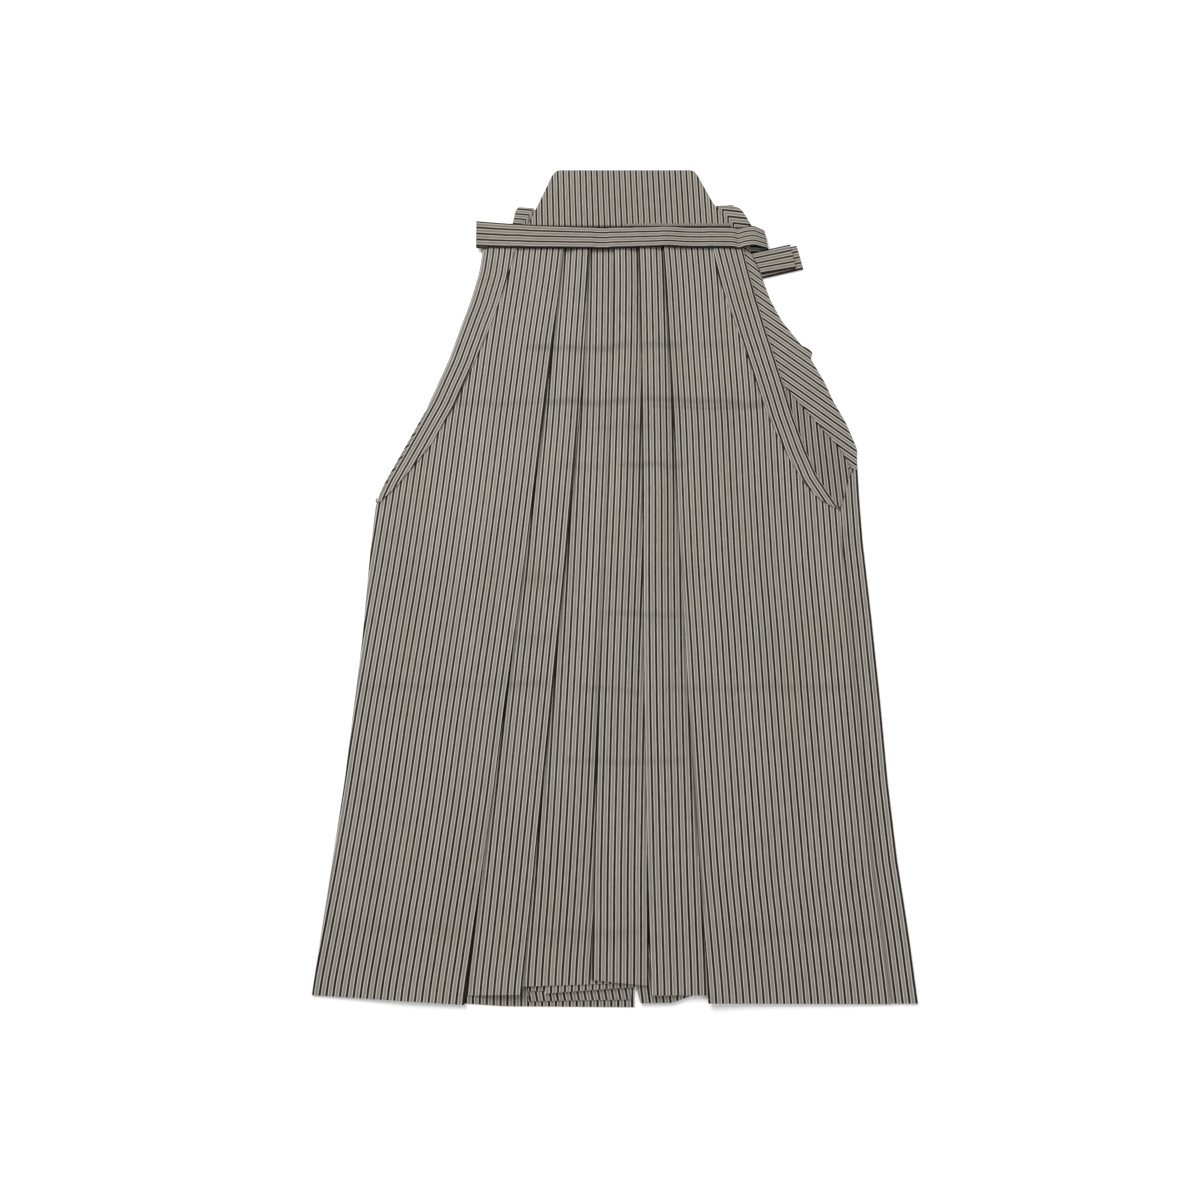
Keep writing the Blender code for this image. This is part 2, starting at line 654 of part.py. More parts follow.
def make_himo_bundle():
    """Folded back himo that sticks out from under the right side, two folds deep."""
    angle = math.radians(BUNDLE_ANGLE)
    along = (math.cos(angle), math.sin(angle))
    away = (-along[1], along[0])
    for number, fold in enumerate(BUNDLE_FOLDS):
        lower = level_height(2.0 * number)
        upper = level_height(2.0 * number + 1.0)
        turn = fold_turn(fold.end, lower, upper, 1, False)
        rows = []
        for share in (1.0, 0.5, 0.0):
            start = fold.start_lower + (fold.start_upper - fold.start_lower) * share
            width = fold.lower + (fold.upper - fold.lower) * share
            line = [(s, upper) for s in section_run(start, fold.end - turn_room(), 4)]
            line += turn
            line += [(s, lower) for s in section_run(fold.end - turn_room(), start, 4)]
            rows.append([(BUNDLE_ORIGIN[0] + s * along[0] + width * away[0],
                          BUNDLE_ORIGIN[1] + s * along[1] + width * away[1], z)
                         for s, z in line])
        add_wall(f"back_himo_folds_{number + 1}", rows, across=along)


def main():
    for old in list(bpy.data.objects):
        bpy.data.objects.remove(old, do_unlink=True)
    collection = bpy.data.collections.new("hakama")
    bpy.context.scene.collection.children.link(collection)
    make_backs()
    make_gussets()
    make_fronts()
    make_side_folds()
    make_front_himo()
    make_back_board()
    make_himo_bundle()


main()
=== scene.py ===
import math
from collections import namedtuple

import bpy
import numpy as np
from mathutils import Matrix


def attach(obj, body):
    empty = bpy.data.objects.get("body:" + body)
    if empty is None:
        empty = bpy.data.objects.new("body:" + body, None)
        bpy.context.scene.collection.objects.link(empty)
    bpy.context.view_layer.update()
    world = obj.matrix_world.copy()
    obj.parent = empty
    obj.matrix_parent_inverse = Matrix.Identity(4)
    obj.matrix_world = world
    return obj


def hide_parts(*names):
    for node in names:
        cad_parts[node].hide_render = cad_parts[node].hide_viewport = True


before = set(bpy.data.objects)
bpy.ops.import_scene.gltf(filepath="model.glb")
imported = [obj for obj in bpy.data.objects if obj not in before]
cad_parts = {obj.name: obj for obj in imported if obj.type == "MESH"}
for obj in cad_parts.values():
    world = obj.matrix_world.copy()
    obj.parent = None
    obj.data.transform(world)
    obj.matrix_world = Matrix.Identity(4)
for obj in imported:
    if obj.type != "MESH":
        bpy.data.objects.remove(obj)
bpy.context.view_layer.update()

MM = 0.001

# Camera and light.
# A plain white floor under soft light from above. The camera stands over the hem's side
# and looks down at 75 degrees.
FLOOR_SIZE = 6.0
FLOOR_COLOUR = (0.93, 0.93, 0.93, 1.0)
FLOOR_ROUGHNESS = 0.9
SKY_STRENGTH = 0.56
CAMERA_PLACE = (-0.0137, -0.364, 1.108)
CAMERA_TILT = 15.0            # degrees from straight down
CAMERA_LENS = 30.78           # millimetres, for a sensor 36 mm wide

camera_data = bpy.data.cameras.new("camera")
camera_data.sensor_width = 36.0
camera_data.lens = CAMERA_LENS
camera = bpy.data.objects.new("camera", camera_data)
camera.location = CAMERA_PLACE
camera.rotation_euler = (math.radians(CAMERA_TILT), 0.0, 0.0)
bpy.context.scene.collection.objects.link(camera)
bpy.context.scene.camera = camera
bpy.context.scene.view_settings.view_transform = "Standard"

# Name, place, size and power of each light; all of them point at the garment's middle.
LampRow = namedtuple("LampRow", "name place size power")
LAMPS = (
    LampRow("lamp_key", (-1.2, 1.6, 2.2), 1.7, 77.0),
    LampRow("lamp_fill", (1.6, -1.1, 2.4), 2.6, 19.0),
)
for lamp in LAMPS:
    light = bpy.data.lights.new(lamp.name, "AREA")
    light.size = lamp.size
    light.energy = lamp.power
    holder = bpy.data.objects.new(lamp.name, light)
    holder.location = lamp.place
    reach = math.hypot(lamp.place[0], lamp.place[1])
    holder.rotation_euler = (math.atan2(reach, lamp.place[2]), 0.0,
                             math.atan2(lamp.place[1], lamp.place[0]) + math.pi / 2.0)
    bpy.context.scene.collection.objects.link(holder)

world = bpy.data.worlds.new("studio")
world.use_nodes = True
sky = world.node_tree.nodes["Background"]
sky.inputs["Color"].default_value = (1.0, 1.0, 1.0, 1.0)
sky.inputs["Strength"].default_value = SKY_STRENGTH
bpy.context.scene.world = world

floor_mesh = bpy.data.meshes.new("floor")
half = FLOOR_SIZE / 2.0
floor_mesh.from_pydata([(-half, -half, 0.0), (half, -half, 0.0), (half, half, 0.0),
                        (-half, half, 0.0)], [], [(0, 1, 2, 3)])
floor = bpy.data.objects.new("floor", floor_mesh)
floor_material = bpy.data.materials.new("floor")
floor_material.use_nodes = True
floor_shader = floor_material.node_tree.nodes["Principled BSDF"]
floor_shader.inputs["Base Color"].default_value = FLOOR_COLOUR
floor_shader.inputs["Roughness"].default_value = FLOOR_ROUGHNESS
floor_mesh.materials.append(floor_material)
bpy.context.scene.collection.objects.link(floor)


# Left front.
# Two widths of striped cloth sewn side by side, pressed into three pleats and the centre
# panel. It wraps round the left side to the back, and the centre's hidden end runs back
# under the middle. Lengths are in millimetres up to the moment a mesh is made.
LEVEL = 1.4                   # height from one layer of cloth to the next
FIRST_LEVEL = 0.5             # height of the lowest layer's middle
CLOTH = 0.8                   # thickness of one layer
FOLD_POINTS = 4               # points added round the turn of a fold
PERIOD = 7.0                  # distance from one dark stripe to the next
FRONT_TOP = 402.0
HEM = -480.0
HEM_DRIFT = 100.0             # length above the hem over which the sections slant to it
CROTCH = 10.0
WRAP_LEFT = 22.0              # cloth of the left front that turns under the garment
PARTING = (CROTCH + 8.0, CROTCH + 110.0)   # heights over which the gussets' layers end
SLOPE_GAP = 3.0               # the cloth slopes over a hidden edge from this far beside it
GUSSET_SLOPE = 62.0           # to this far from a gusset's edge
RETURN_SLOPE = 50.0           # and to this far from the centre panel's hidden end
FLAT_BEYOND = 6.0             # the outer panels lie level from this far beyond their pleat
ROW_STEP = 8.0                # distance between two sections
CREASE_STEP = 2.0             # the same across a crease that runs from side to side
CREASE_REACH = 8.0            # how far from such a crease the sections lie close
ROUNDING = 6.0                # length over which an outline's corners are eased

PleatRow = namedtuple("PleatRow", "height pleat1 pleat2 pleat3 pleat4 pleat5 centre_end")
PLEAT_LINES = (
    PleatRow(402, -56.0, -25.0, 4.0, 33.0, 62.5, 57.5),
    PleatRow(203, -74.5, -34.0, 1.5, 35.5, 70.0, 52.5),
    PleatRow(30, -93.0, -48.0, -6.5, 34.5, 75.5, 48.0),
    PleatRow(-171, -115.2, -65.0, -15.5, 34.0, 82.0, 42.5),
    PleatRow(-262, -125.0, -73.2, -17.7, 35.0, 86.0, 40.1),
    PleatRow(-480, -151.0, -93.0, -23.0, 37.5, 95.5, 34.5),
)
Depth = namedtuple("Depth", "waist hem")
PLEAT_DEPTH = {               # cloth behind each pleat's edge
    1: Depth(12.0, 44.0),
    2: Depth(10.0, 32.0),
    3: Depth(9.0, 24.0),
    4: Depth(10.0, 28.0),
    5: Depth(12.0, 44.0),
}
# Side of each pleat's edge where the lower panel lies, 1 for the right and -1 for the left,
# and how much shade is painted in its corner, as a share of the shade painted in a 1 mm trough.
Corner = namedtuple("Corner", "pleat side mark")
PLEAT_CORNERS = (
    Corner(1, 1.0, 3.6), Corner(2, 1.0, 2.6), Corner(3, -1.0, 2.2), Corner(4, -1.0, 2.4),
    Corner(5, -1.0, 3.0),
)
CORNER_REACH = 1.3            # length over which the painted shade fades away from the edge
CORNER_OVERLAP = 0.5          # how far it also lies on the pleat's own edge
# Place of one dark stripe of each panel down the front.
StripeRow = namedtuple("StripeRow", "height panel1 panel2 panel3 centre panel4 panel5")
STRIPES = (
    StripeRow(402, -54.8, -27.0, -3.0, 3.5, 40.6, 69.2),
    StripeRow(337, -60.7, -29.8, -3.2, 4.1, 42.1, 73.2),
    StripeRow(250, -71.4, -35.3, -4.6, 2.7, 42.7, 76.0),
    StripeRow(150, -81.5, -40.6, -7.7, -1.1, 42.8, 79.7),
    StripeRow(60, -90.0, -47.1, -11.3, -4.1, 42.7, 81.1),
    StripeRow(-30, -98.9, -53.6, -15.0, -8.2, 41.2, 82.9),
    StripeRow(-113, -108.4, -60.9, -18.6, -12.0, 40.7, 86.4),
    StripeRow(-200, -118.4, -68.5, -22.9, -15.4, 40.6, 89.0),
    StripeRow(-290, -127.4, -76.2, -27.1, -17.9, 41.5, 92.3),
    StripeRow(-369, -137.0, -82.9, -31.5, -19.8, 42.2, 95.4),
    StripeRow(-425, -144.7, -88.0, -35.2, -20.0, 43.4, 99.8),
    StripeRow(-480, -152.6, -93.7, -38.6, -20.8, 44.4, 103.6),
)
# Distance from one dark stripe to the next, as the cloth lies a little looser or tighter.
SpaceRow = namedtuple("SpaceRow", "height panel1 middle panel5")
SPACING = (
    SpaceRow(402, 7.13, 7.0, 7.0),
    SpaceRow(300, 7.13, 7.0, 6.96),
    SpaceRow(177, 7.04, 7.0, 7.02),
    SpaceRow(60, 6.98, 7.0, 6.94),
    SpaceRow(-113, 6.985, 6.97, 6.91),
    SpaceRow(-369, 6.955, 6.92, 6.87),
    SpaceRow(-480, 6.93, 6.9, 6.88),
)
Edge = namedtuple("Edge", "height x")
LEFT_FOLD = (
    Edge(402, -156.5), Edge(372, -158), Edge(345, -161), Edge(306, -170),
    Edge(280, -178), Edge(227, -193.5), Edge(175, -213), Edge(124, -237),
    Edge(74, -261), Edge(50, -270), Edge(0, -273), Edge(-115, -276.5),
    Edge(-268, -286), Edge(-390, -297), Edge(-480, -305.5),
)
# How far the left back's fold shows beyond the left front's side.
BACK_SHOWS = (
    Edge(170, 0.0), Edge(153, 2.2), Edge(140, 3.5), Edge(126, 4.6), Edge(106, 4.7),
    Edge(89, 4.4), Edge(71, 3.2), Edge(58, 1.4), Edge(50, 0.0),
)
GUSSET_LEFT_FOLD = (Edge(CROTCH, 10.0), Edge(-478, -88.0))
CENTRE_RETURN = (Edge(402, 45.5), Edge(30, 30.0), Edge(-480, -69.5))

# Slow swells of the cloth: their height, their lengths across and along it and their
# place. The ripples are smaller, and a second wave lets them come and go.
Swell = namedtuple("Swell", "height across along place")
SWELLS = (Swell(0.16, 47.0, -95.0, 1.9), Swell(0.10, 33.0, 29.0, 0.0))
RIPPLES = Swell(0.20, 19.0, 160.0, 0.0)
RIPPLES_FADE = Swell(1.0, 210.0, 63.0, 0.7)
# Creases that lie in the cloth: a soft ridge from one place to another, or a trough
# where its height is negative.
Crease = namedtuple("Crease", "x1 y1 x2 y2 width height")
CREASES = (
    Crease(-112, 241, 36, 244, 3.8, -1.05),
    Crease(30, 245, 95, 244, 3.8, -0.95),
    Crease(95, 243, 150, 247, 5.0, -0.50),
    Crease(-205, 169, -78, 170, 3.8, -0.60),
    Crease(-92, 171, 36, 173, 3.8, -1.15),
    Crease(24, 174, 150, 172, 3.8, -1.00),
    Crease(130, 170, 186, 168, 3.8, -0.90),
    Crease(36, 164, 186, 165, 1.9, -0.70),
    Crease(-30, 139, 60, 142, 4.6, -0.50),
    Crease(-70, 89, 0, 91, 4.0, -0.50),
    Crease(0, 91, 95, 92, 3.4, -0.90),
    Crease(-110, -47, -50, -46, 6.0, -0.60),
    Crease(-20, -86, 90, -87, 3.4, -0.70),
    Crease(-120, -114, -60, -113, 5.0, -0.50),
    Crease(-285, -168, -110, -166, 4.0, -0.50),
    Crease(-125, -165, -60, -166, 4.4, -0.85),
    Crease(-50, -169, 40, -173, 3.4, -0.65),
    Crease(40, -171, 270, -167, 4.0, -0.50),
    Crease(-60, -249, 90, -248, 3.6, -0.65),
    Crease(-296, -417, -150, -420, 4.4, -0.40),
    Crease(-90, -423, 35, -422, 4.4, -0.55),
    Crease(100, -421, 280, -423, 4.4, -0.40),
    Crease(269, -240, 280, -369, 5.0, 0.55),
    Crease(280, -369, 290, -486, 5.0, 0.60),
    Crease(-6, 330, 24, 326, 4.0, 0.35),
    Crease(2, 290, 32, 287, 5.0, -0.40),
    Crease(-2, 214, 30, 210, 4.0, 0.45),
    Crease(-12, 40, 22, 44, 5.0, 0.40),
    Crease(-60, 205, -45, 150, 5.0, 0.35),
    Crease(-130, 330, -150, 250, 8.0, 0.45),
    Crease(-180, 60, -215, -60, 14.0, 0.50),
    Crease(-230, -120, -250, -300, 16.0, 0.55),
    Crease(-190, -220, -205, -400, 14.0, -0.45),
    Crease(150, 60, 165, -80, 14.0, 0.50),
    Crease(205, -60, 215, -260, 16.0, -0.50),
    Crease(140, -200, 150, -380, 15.0, 0.50),
    Crease(100, 330, 118, 220, 10.0, 0.40),
)
CREASE_FADE = 22.0            # length over which a crease's ends die out, at the most
# How a crease strays from its straight line, in waves.
Stray = namedtuple("Stray", "height length")
CREASE_STRAYS = (Stray(0.9, 17.0), Stray(0.4, 6.3))
PAINTED_SHADE_SPREAD = 1.3             # width of the shade painted along a crease, as a share of the crease's width
SETTLED_DEPTH = 3.0           # cloth this high above the lowest layer creases fully


def ease(start, end, value):
    """0 before start and 1 after end, with a soft change between them."""
    share = np.clip((value - start) / (end - start), 0.0, 1.0)
    return share * share * (3.0 - 2.0 * share)


def read(table, key, key_name, value_name):
    """Value of a table's column where its key column has the given number."""
    keys = [getattr(row, key_name) for row in table]
    values = [getattr(row, value_name) for row in table]
    if keys[0] > keys[-1]:
        keys.reverse()
        values.reverse()
    return np.interp(key, keys, values)


def eased(table, column, height, rounding):
    """A table's value at a height, with the corners of its line eased."""
    near = [read(table, height + rounding * step, "height", column)
            for step in (-1, -0.5, 0, 0.5, 1)]
    return sum(near) / len(near)


def edge_at(table, height, rounding=ROUNDING):
    """An outline's place at a height."""
    return eased(table, "x", height, rounding)


def left_side_at(height):
    """The left front's own side, inside the garment's outline where the back's fold shows."""
    return edge_at(LEFT_FOLD, height) + edge_at(BACK_SHOWS, height)


def hem_at(table, x):
    return read(table, x, "x", "height")


def line_at(table, column, height, rounding=20.0):
    """A pleat's or a stripe's place at a height, as a soft curve through its table."""
    return eased(table, column, height, rounding)


def pleat_depth(number, height):
    share = (FRONT_TOP - height) / (FRONT_TOP - HEM)
    depth = PLEAT_DEPTH[number]
    return depth.waist + (depth.hem - depth.waist) * share


def legs_parted(height):
    """1 where the gussets lie between fronts and backs, 0 above the crotch."""
    return 1.0 - ease(*PARTING, height)


def left_underlay(x, height):
    """Levels of hidden cloth between the left back and the left front."""
    gusset = edge_at(GUSSET_LEFT_FOLD, height)
    lining = edge_at(CENTRE_RETURN, height)
    over_gusset = 2.0 * legs_parted(height) * ease(gusset - GUSSET_SLOPE, gusset - SLOPE_GAP, x)
    over_return = ease(lining - RETURN_SLOPE, lining - SLOPE_GAP, x)
    return over_gusset, over_return


def left_outer_level(x, height):
    """Level of the left front's outer panel, which slopes down to the side."""
    outer = left_side_at(height)
    flat_from = line_at(PLEAT_LINES, "pleat1", height) - pleat_depth(1, height) - FLAT_BEYOND
    share = min(max((x - outer) / (flat_from - outer), 0.0), 1.0)
    return 1.0 + sum(left_underlay(x, height)) + 2.0 * share


def level_height(level):
    return level * LEVEL + FIRST_LEVEL


def level_creases():
    """The troughs that were pressed across the stripes when the garment was put away."""
    return [crease for crease in CREASES
            if crease.height < 0.0 and crease.x2 - crease.x1 > 3.0 * abs(crease.y2 - crease.y1)]


def crease_share(crease, x, y, width):
    """How much of a crease's height a place has."""
    run_x, run_y = crease.x2 - crease.x1, crease.y2 - crease.y1
    length = math.hypot(run_x, run_y)
    along = ((x - crease.x1) * run_x + (y - crease.y1) * run_y) / length
    off = ((x - crease.x1) * run_y - (y - crease.y1) * run_x) / length
    fade = min(length * 0.25, CREASE_FADE)
    ends = ease(0.0, fade, along) * ease(0.0, fade, length - along)
    for stray in CREASE_STRAYS:
        off = off + stray.height * np.sin(along / stray.length)
    return ends * np.exp(-(off / width) ** 2)


def swell_at(swell, x, y):
    return swell.height * np.sin(x / swell.across + y / swell.along + swell.place)


def drape(x, y):
    """Height that creases and slow waves add to the cloth at a place."""
    total = swell_at(RIPPLES, x, y) * swell_at(RIPPLES_FADE, x, y)
    for swell in SWELLS:
        total = total + swell_at(swell, x, y)
    for crease in CREASES:
        total = total + crease.height * crease_share(crease, x, y, crease.width)
    return total


def crease_painted_shade(x, y):
    """How much shade is painted along the pressed troughs."""
    total = 0.0 * x
    for crease in level_creases():
        total = total - crease.height * crease_share(crease, x, y, crease.width * PAINTED_SHADE_SPREAD)
    return total


def pleat_painted_shade(x, y):
    """How much shade is painted in the fronts' pleats' corners."""
    total = 0.0 * x
    for corner in PLEAT_CORNERS:
        beyond = corner.side * (x - line_at(PLEAT_LINES, f"pleat{corner.pleat}", y))
        fading = np.exp(-np.maximum(beyond, 0.0) / CORNER_REACH)
        total = total + corner.mark * np.where(beyond > -CORNER_OVERLAP, fading, 0.0)
    return total


def section_run(start, end, count):
    return [start + (end - start) * step / (count - 1) for step in range(count)]


def fold_turn(x, lower, upper, outward, rising):
    """Points round a fold whose outer face reaches x, from one layer to the other."""
    radius = (upper - lower) / 2.0
    middle = (upper + lower) / 2.0
    centre = x - outward * (radius + CLOTH / 2.0)
    points = []
    for step in range(FOLD_POINTS + 2):
        angle = math.pi * step / (FOLD_POINTS + 1)
        swing = -math.cos(angle) if rising else math.cos(angle)
        points.append((centre + outward * radius * math.sin(angle), middle + radius * swing))
    return points


def turn_room():
    """Distance from a fold's outer face to where the straight cloth begins."""
    return LEVEL / 2.0 + CLOTH / 2.0 + 0.4


def stripes(panel, height):
    """Counts the stripes of a panel from its own dark stripe at a height."""
    start = line_at(STRIPES, panel, height)
    space = line_at(SPACING, panel if panel in SpaceRow._fields else "middle", height)
    return lambda x: (x - start) / space


def returned(thread, fold, sign):
    """Goes on counting behind a fold, away from it."""
    return lambda x: thread(fold) + sign * abs(x - fold) / PERIOD


# A panel has its points, how far its hem lies above HEM at its two edges, its level at a
# place and its thread, which counts the stripes across the cloth. A turn lies between two,
# 1 for a fold that points right and -1 for one that points left. It has its own hem, and a
# level where it doesn't leave the panel's own.
Panel = namedtuple("Panel", "points hem_start hem_end level thread")
Turn = namedtuple("Turn", "x outward hem level", defaults=(None,))


def folded_section(height, start, end, panels, turns):
    """A line through the cloth from one edge to the other, as points with their threads."""
    stops = [start] + [turn.x - turn.outward * turn_room() for turn in turns] + [end]
    drift = ease(HEM + HEM_DRIFT, HEM, height)
    made = []
    for number, panel in enumerate(panels):
        for step, x in enumerate(section_run(stops[number], stops[number + 1], panel.points)):
            hem = panel.hem_start + (panel.hem_end - panel.hem_start) * step / (panel.points - 1)
            made.append((x, height + hem * drift, level_height(panel.level(x)), panel.thread(x)))
        if number == len(turns):
            break
        turn, beyond = turns[number], panels[number + 1]
        before, after = (turn.level or panel.level)(turn.x), beyond.level(turn.x)
        bend = fold_turn(turn.x, level_height(min(before, after)),
                         level_height(max(before, after)), turn.outward, after > before)
        first, last = (side.thread(stops[number + 1]) for side in (panel, beyond))
        for step, (x, z) in enumerate(bend):
            thread = first + (last - first) * (step + 1) / (len(bend) + 1)
            made.append((x, height + turn.hem * drift, z, thread))
    return made


def left_front_section(height):
    outer = left_side_at(height)
    line1, line2, line3, line4 = (line_at(PLEAT_LINES, f"pleat{n}", height) for n in (1, 2, 3, 4))
    depth1, depth2, depth3 = (pleat_depth(number, height) for number in (1, 2, 3))
    centre_end = line_at(PLEAT_LINES, "centre_end", height)
    return_end = edge_at(CENTRE_RETURN, height)
    inner1, inner2, inner3 = line1 - depth1, line2 - depth2, line3 + depth3
    first, second, third = (stripes(f"panel{n}", height) for n in (1, 2, 3))
    centre = stripes("centre", height)
    wrap = returned(first, outer, -1)
    back1, back2 = returned(first, line1, 1), returned(second, line2, 1)
    back3, back4 = returned(centre, line3, -1), returned(centre, centre_end, 1)

    def base(x):
        over_gusset, over_return = left_underlay(x, height)
        return 1.0 + over_gusset + over_return

    def outer_panel(x):
        return left_outer_level(x, height)

    def behind(x):
        return base(x) + 1.0

    def second_panel(x):
        return base(x) + 2.0 * ease(line1 + 1.0, inner2 - 2.0, x)

    def centre_panel(x):
        return base(x) + 2.0 * (1.0 - ease(inner3 + 1.0, line4 - 2.0, x))

    def centre_return(x):
        return 1.0 + left_underlay(x, height)[0]

    panels = (
        Panel(5, -1.0, -1.5, lambda x: 0.0, wrap), Panel(42, -1.5, -10.5, outer_panel, first),
        Panel(5, -9.0, -4.0, behind, back1), Panel(24, -3.0, -0.5, second_panel, second),
        Panel(5, 0.0, 4.0, behind, back2), Panel(30, 6.0, 10.0, base, third),
        Panel(5, 12.0, 13.5, behind, back3), Panel(22, 13.7, 8.0, centre_panel, centre),
        Panel(22, 7.5, 0.3, centre_return, back4),
    )
    turns = (
        Turn(outer, -1, -1.5), Turn(line1, 1, -10.5), Turn(inner1, -1, -3.5),
        Turn(line2, 1, -0.5), Turn(inner2, -1, 5.0), Turn(inner3, 1, 11.0),
        Turn(line3, -1, 13.7), Turn(centre_end, 1, 8.0, base),
    )
    return folded_section(height, outer + WRAP_LEFT, return_end, panels, turns)


def cloth_wall(sections):
    """Closed wall through sections of the cloth's middle: points, faces and threads."""
    grid = np.array([[point[:3] for point in section] for section in sections])
    threads = np.array([[point[3] for point in section] for section in sections])
    weight = np.clip((grid[:, :, 2] - FIRST_LEVEL) / SETTLED_DEPTH, 0.0, 1.0)
    grid[:, :, 2] += drape(grid[:, :, 0], grid[:, :, 1]) * weight
    step = np.diff(grid, axis=1)
    length = np.maximum(np.hypot(step[:, :, 0], step[:, :, 2]), 1e-9)
    side, rise = -step[:, :, 2] / length, step[:, :, 0] / length
    side = np.hstack([side[:, :1], (side[:, :-1] + side[:, 1:]) / 2.0, side[:, -1:]])
    rise = np.hstack([rise[:, :1], (rise[:, :-1] + rise[:, 1:]) / 2.0, rise[:, -1:]])
    stretch = np.maximum(side * side + rise * rise, 0.2)
    shift = np.stack([side, np.zeros_like(side), rise], axis=2) / stretch[:, :, None]
    outer_face = grid + shift * CLOTH / 2.0
    inner_face = grid - shift * CLOTH / 2.0
    rows, columns = threads.shape
    along = np.vstack([np.zeros((1, columns)),
                       np.cumsum(np.linalg.norm(np.diff(grid, axis=0), axis=2), axis=0)])
    points = np.vstack([outer_face.reshape(-1, 3), inner_face.reshape(-1, 3)]) * MM
    count = np.stack([threads, along / PERIOD], axis=2).reshape(-1, 2)
    weave = np.vstack([count, count])
    behind = rows * columns
    faces = []
    for row in range(rows - 1):
        for column in range(columns - 1):
            corner = row * columns + column
            faces.append((corner, corner + columns, corner + columns + 1, corner + 1))
            faces.append((behind + corner, behind + corner + 1,
                          behind + corner + columns + 1, behind + corner + columns))
        first = row * columns
        last = first + columns - 1
        faces.append((first, behind + first, behind + first + columns, first + columns))
        faces.append((last, last + columns, behind + last + columns, behind + last))
    for column in range(columns - 1):
        bottom = (rows - 1) * columns + column
        faces.append((column, column + 1, behind + column + 1, behind + column))
        faces.append((bottom, behind + bottom, behind + bottom + 1, bottom + 1))
    return points, faces, weave


class Signal:
    """A shader value that can be written with in plain arithmetic."""

    def __init__(self, tree, socket):
        self.tree = tree
        self.socket = socket

    def node(self, kind, inputs, output=0, **settings):
        made = self.tree.nodes.new(kind)
        for name, value in settings.items():
            setattr(made, name, value)
        for key, value in inputs.items():
            if isinstance(value, Signal):
                self.tree.links.new(value.socket, made.inputs[key])
            else:
                made.inputs[key].default_value = value
        return Signal(self.tree, made.outputs[output])

    def math(self, operation, *values):
        return self.node("ShaderNodeMath", dict(enumerate(values)), operation=operation)

    def __add__(self, other):
        return self.math("ADD", self, other)

    def __sub__(self, other):
        return self.math("SUBTRACT", self, other)

    def __rsub__(self, other):
        return self.math("SUBTRACT", other, self)

    def __mul__(self, other):
        return self.math("MULTIPLY", self, other)

    __radd__ = __add__
    __rmul__ = __mul__

    def between(self, low, high):
        """0 up to low and 1 from high on, with a soft change between them."""
        return self.node("ShaderNodeMapRange", {0: self, 1: low, 2: high, 3: 0.0, 4: 1.0},
                         interpolation_type="SMOOTHSTEP")

    def mix(self, colour_off, colour_on):
        """A colour that goes from the first to the second as this value goes from 0 to 1."""
        return self.node("ShaderNodeMix", {0: self, 6: colour_off, 7: colour_on}, 2,
                         data_type="RGBA")

    def noise(self, x, y, z, detail=2.0):
        place = self.node("ShaderNodeCombineXYZ", {0: x, 1: y, 2: z})
        return self.node("ShaderNodeTexNoise", {"Vector": place, "Scale": 1.0, "Detail": detail})


# Colours of the cloth's yarns.
PALE = (0.490, 0.464, 0.416, 1.0)
PALE_WARM = (0.460, 0.421, 0.366, 1.0)
GREY = (0.180, 0.170, 0.149, 1.0)
DARK = (0.0105, 0.0085, 0.007, 1.0)
DARK_WARM = (0.030, 0.021, 0.016, 1.0)
DARK_HALF = 0.182             # half the dark stripe's width, as a share of the period
GREY_HALF = 0.190             # half the grey stripe's width
THREADS = 17.0                # warp threads in one period
STRIPE_WANDER = 0.03          # how far a stripe strays from its place
STRIPE_FUZZ = 0.05            # unevenness of a stripe's edges
DARK_SOFT = 0.018             # half the width of a dark stripe's soft edge
GREY_SOFT = 0.025             # the same of a grey stripe
YARN_TONE = 0.20              # change of tone from yarn to yarn
FLECK_TONE = 0.10             # and along a yarn
PATCH_TONE = 0.16             # and from place to place on the cloth
CLOTH_ROUGHNESS = 0.60
WEAVE_RELIEF = 0.000025       # depth of the weave, in metres
PAINTED_SHADE_SCALE = 0.20             # how much darker the cloth is painted, as shade, in a pressed trough 1 mm deep
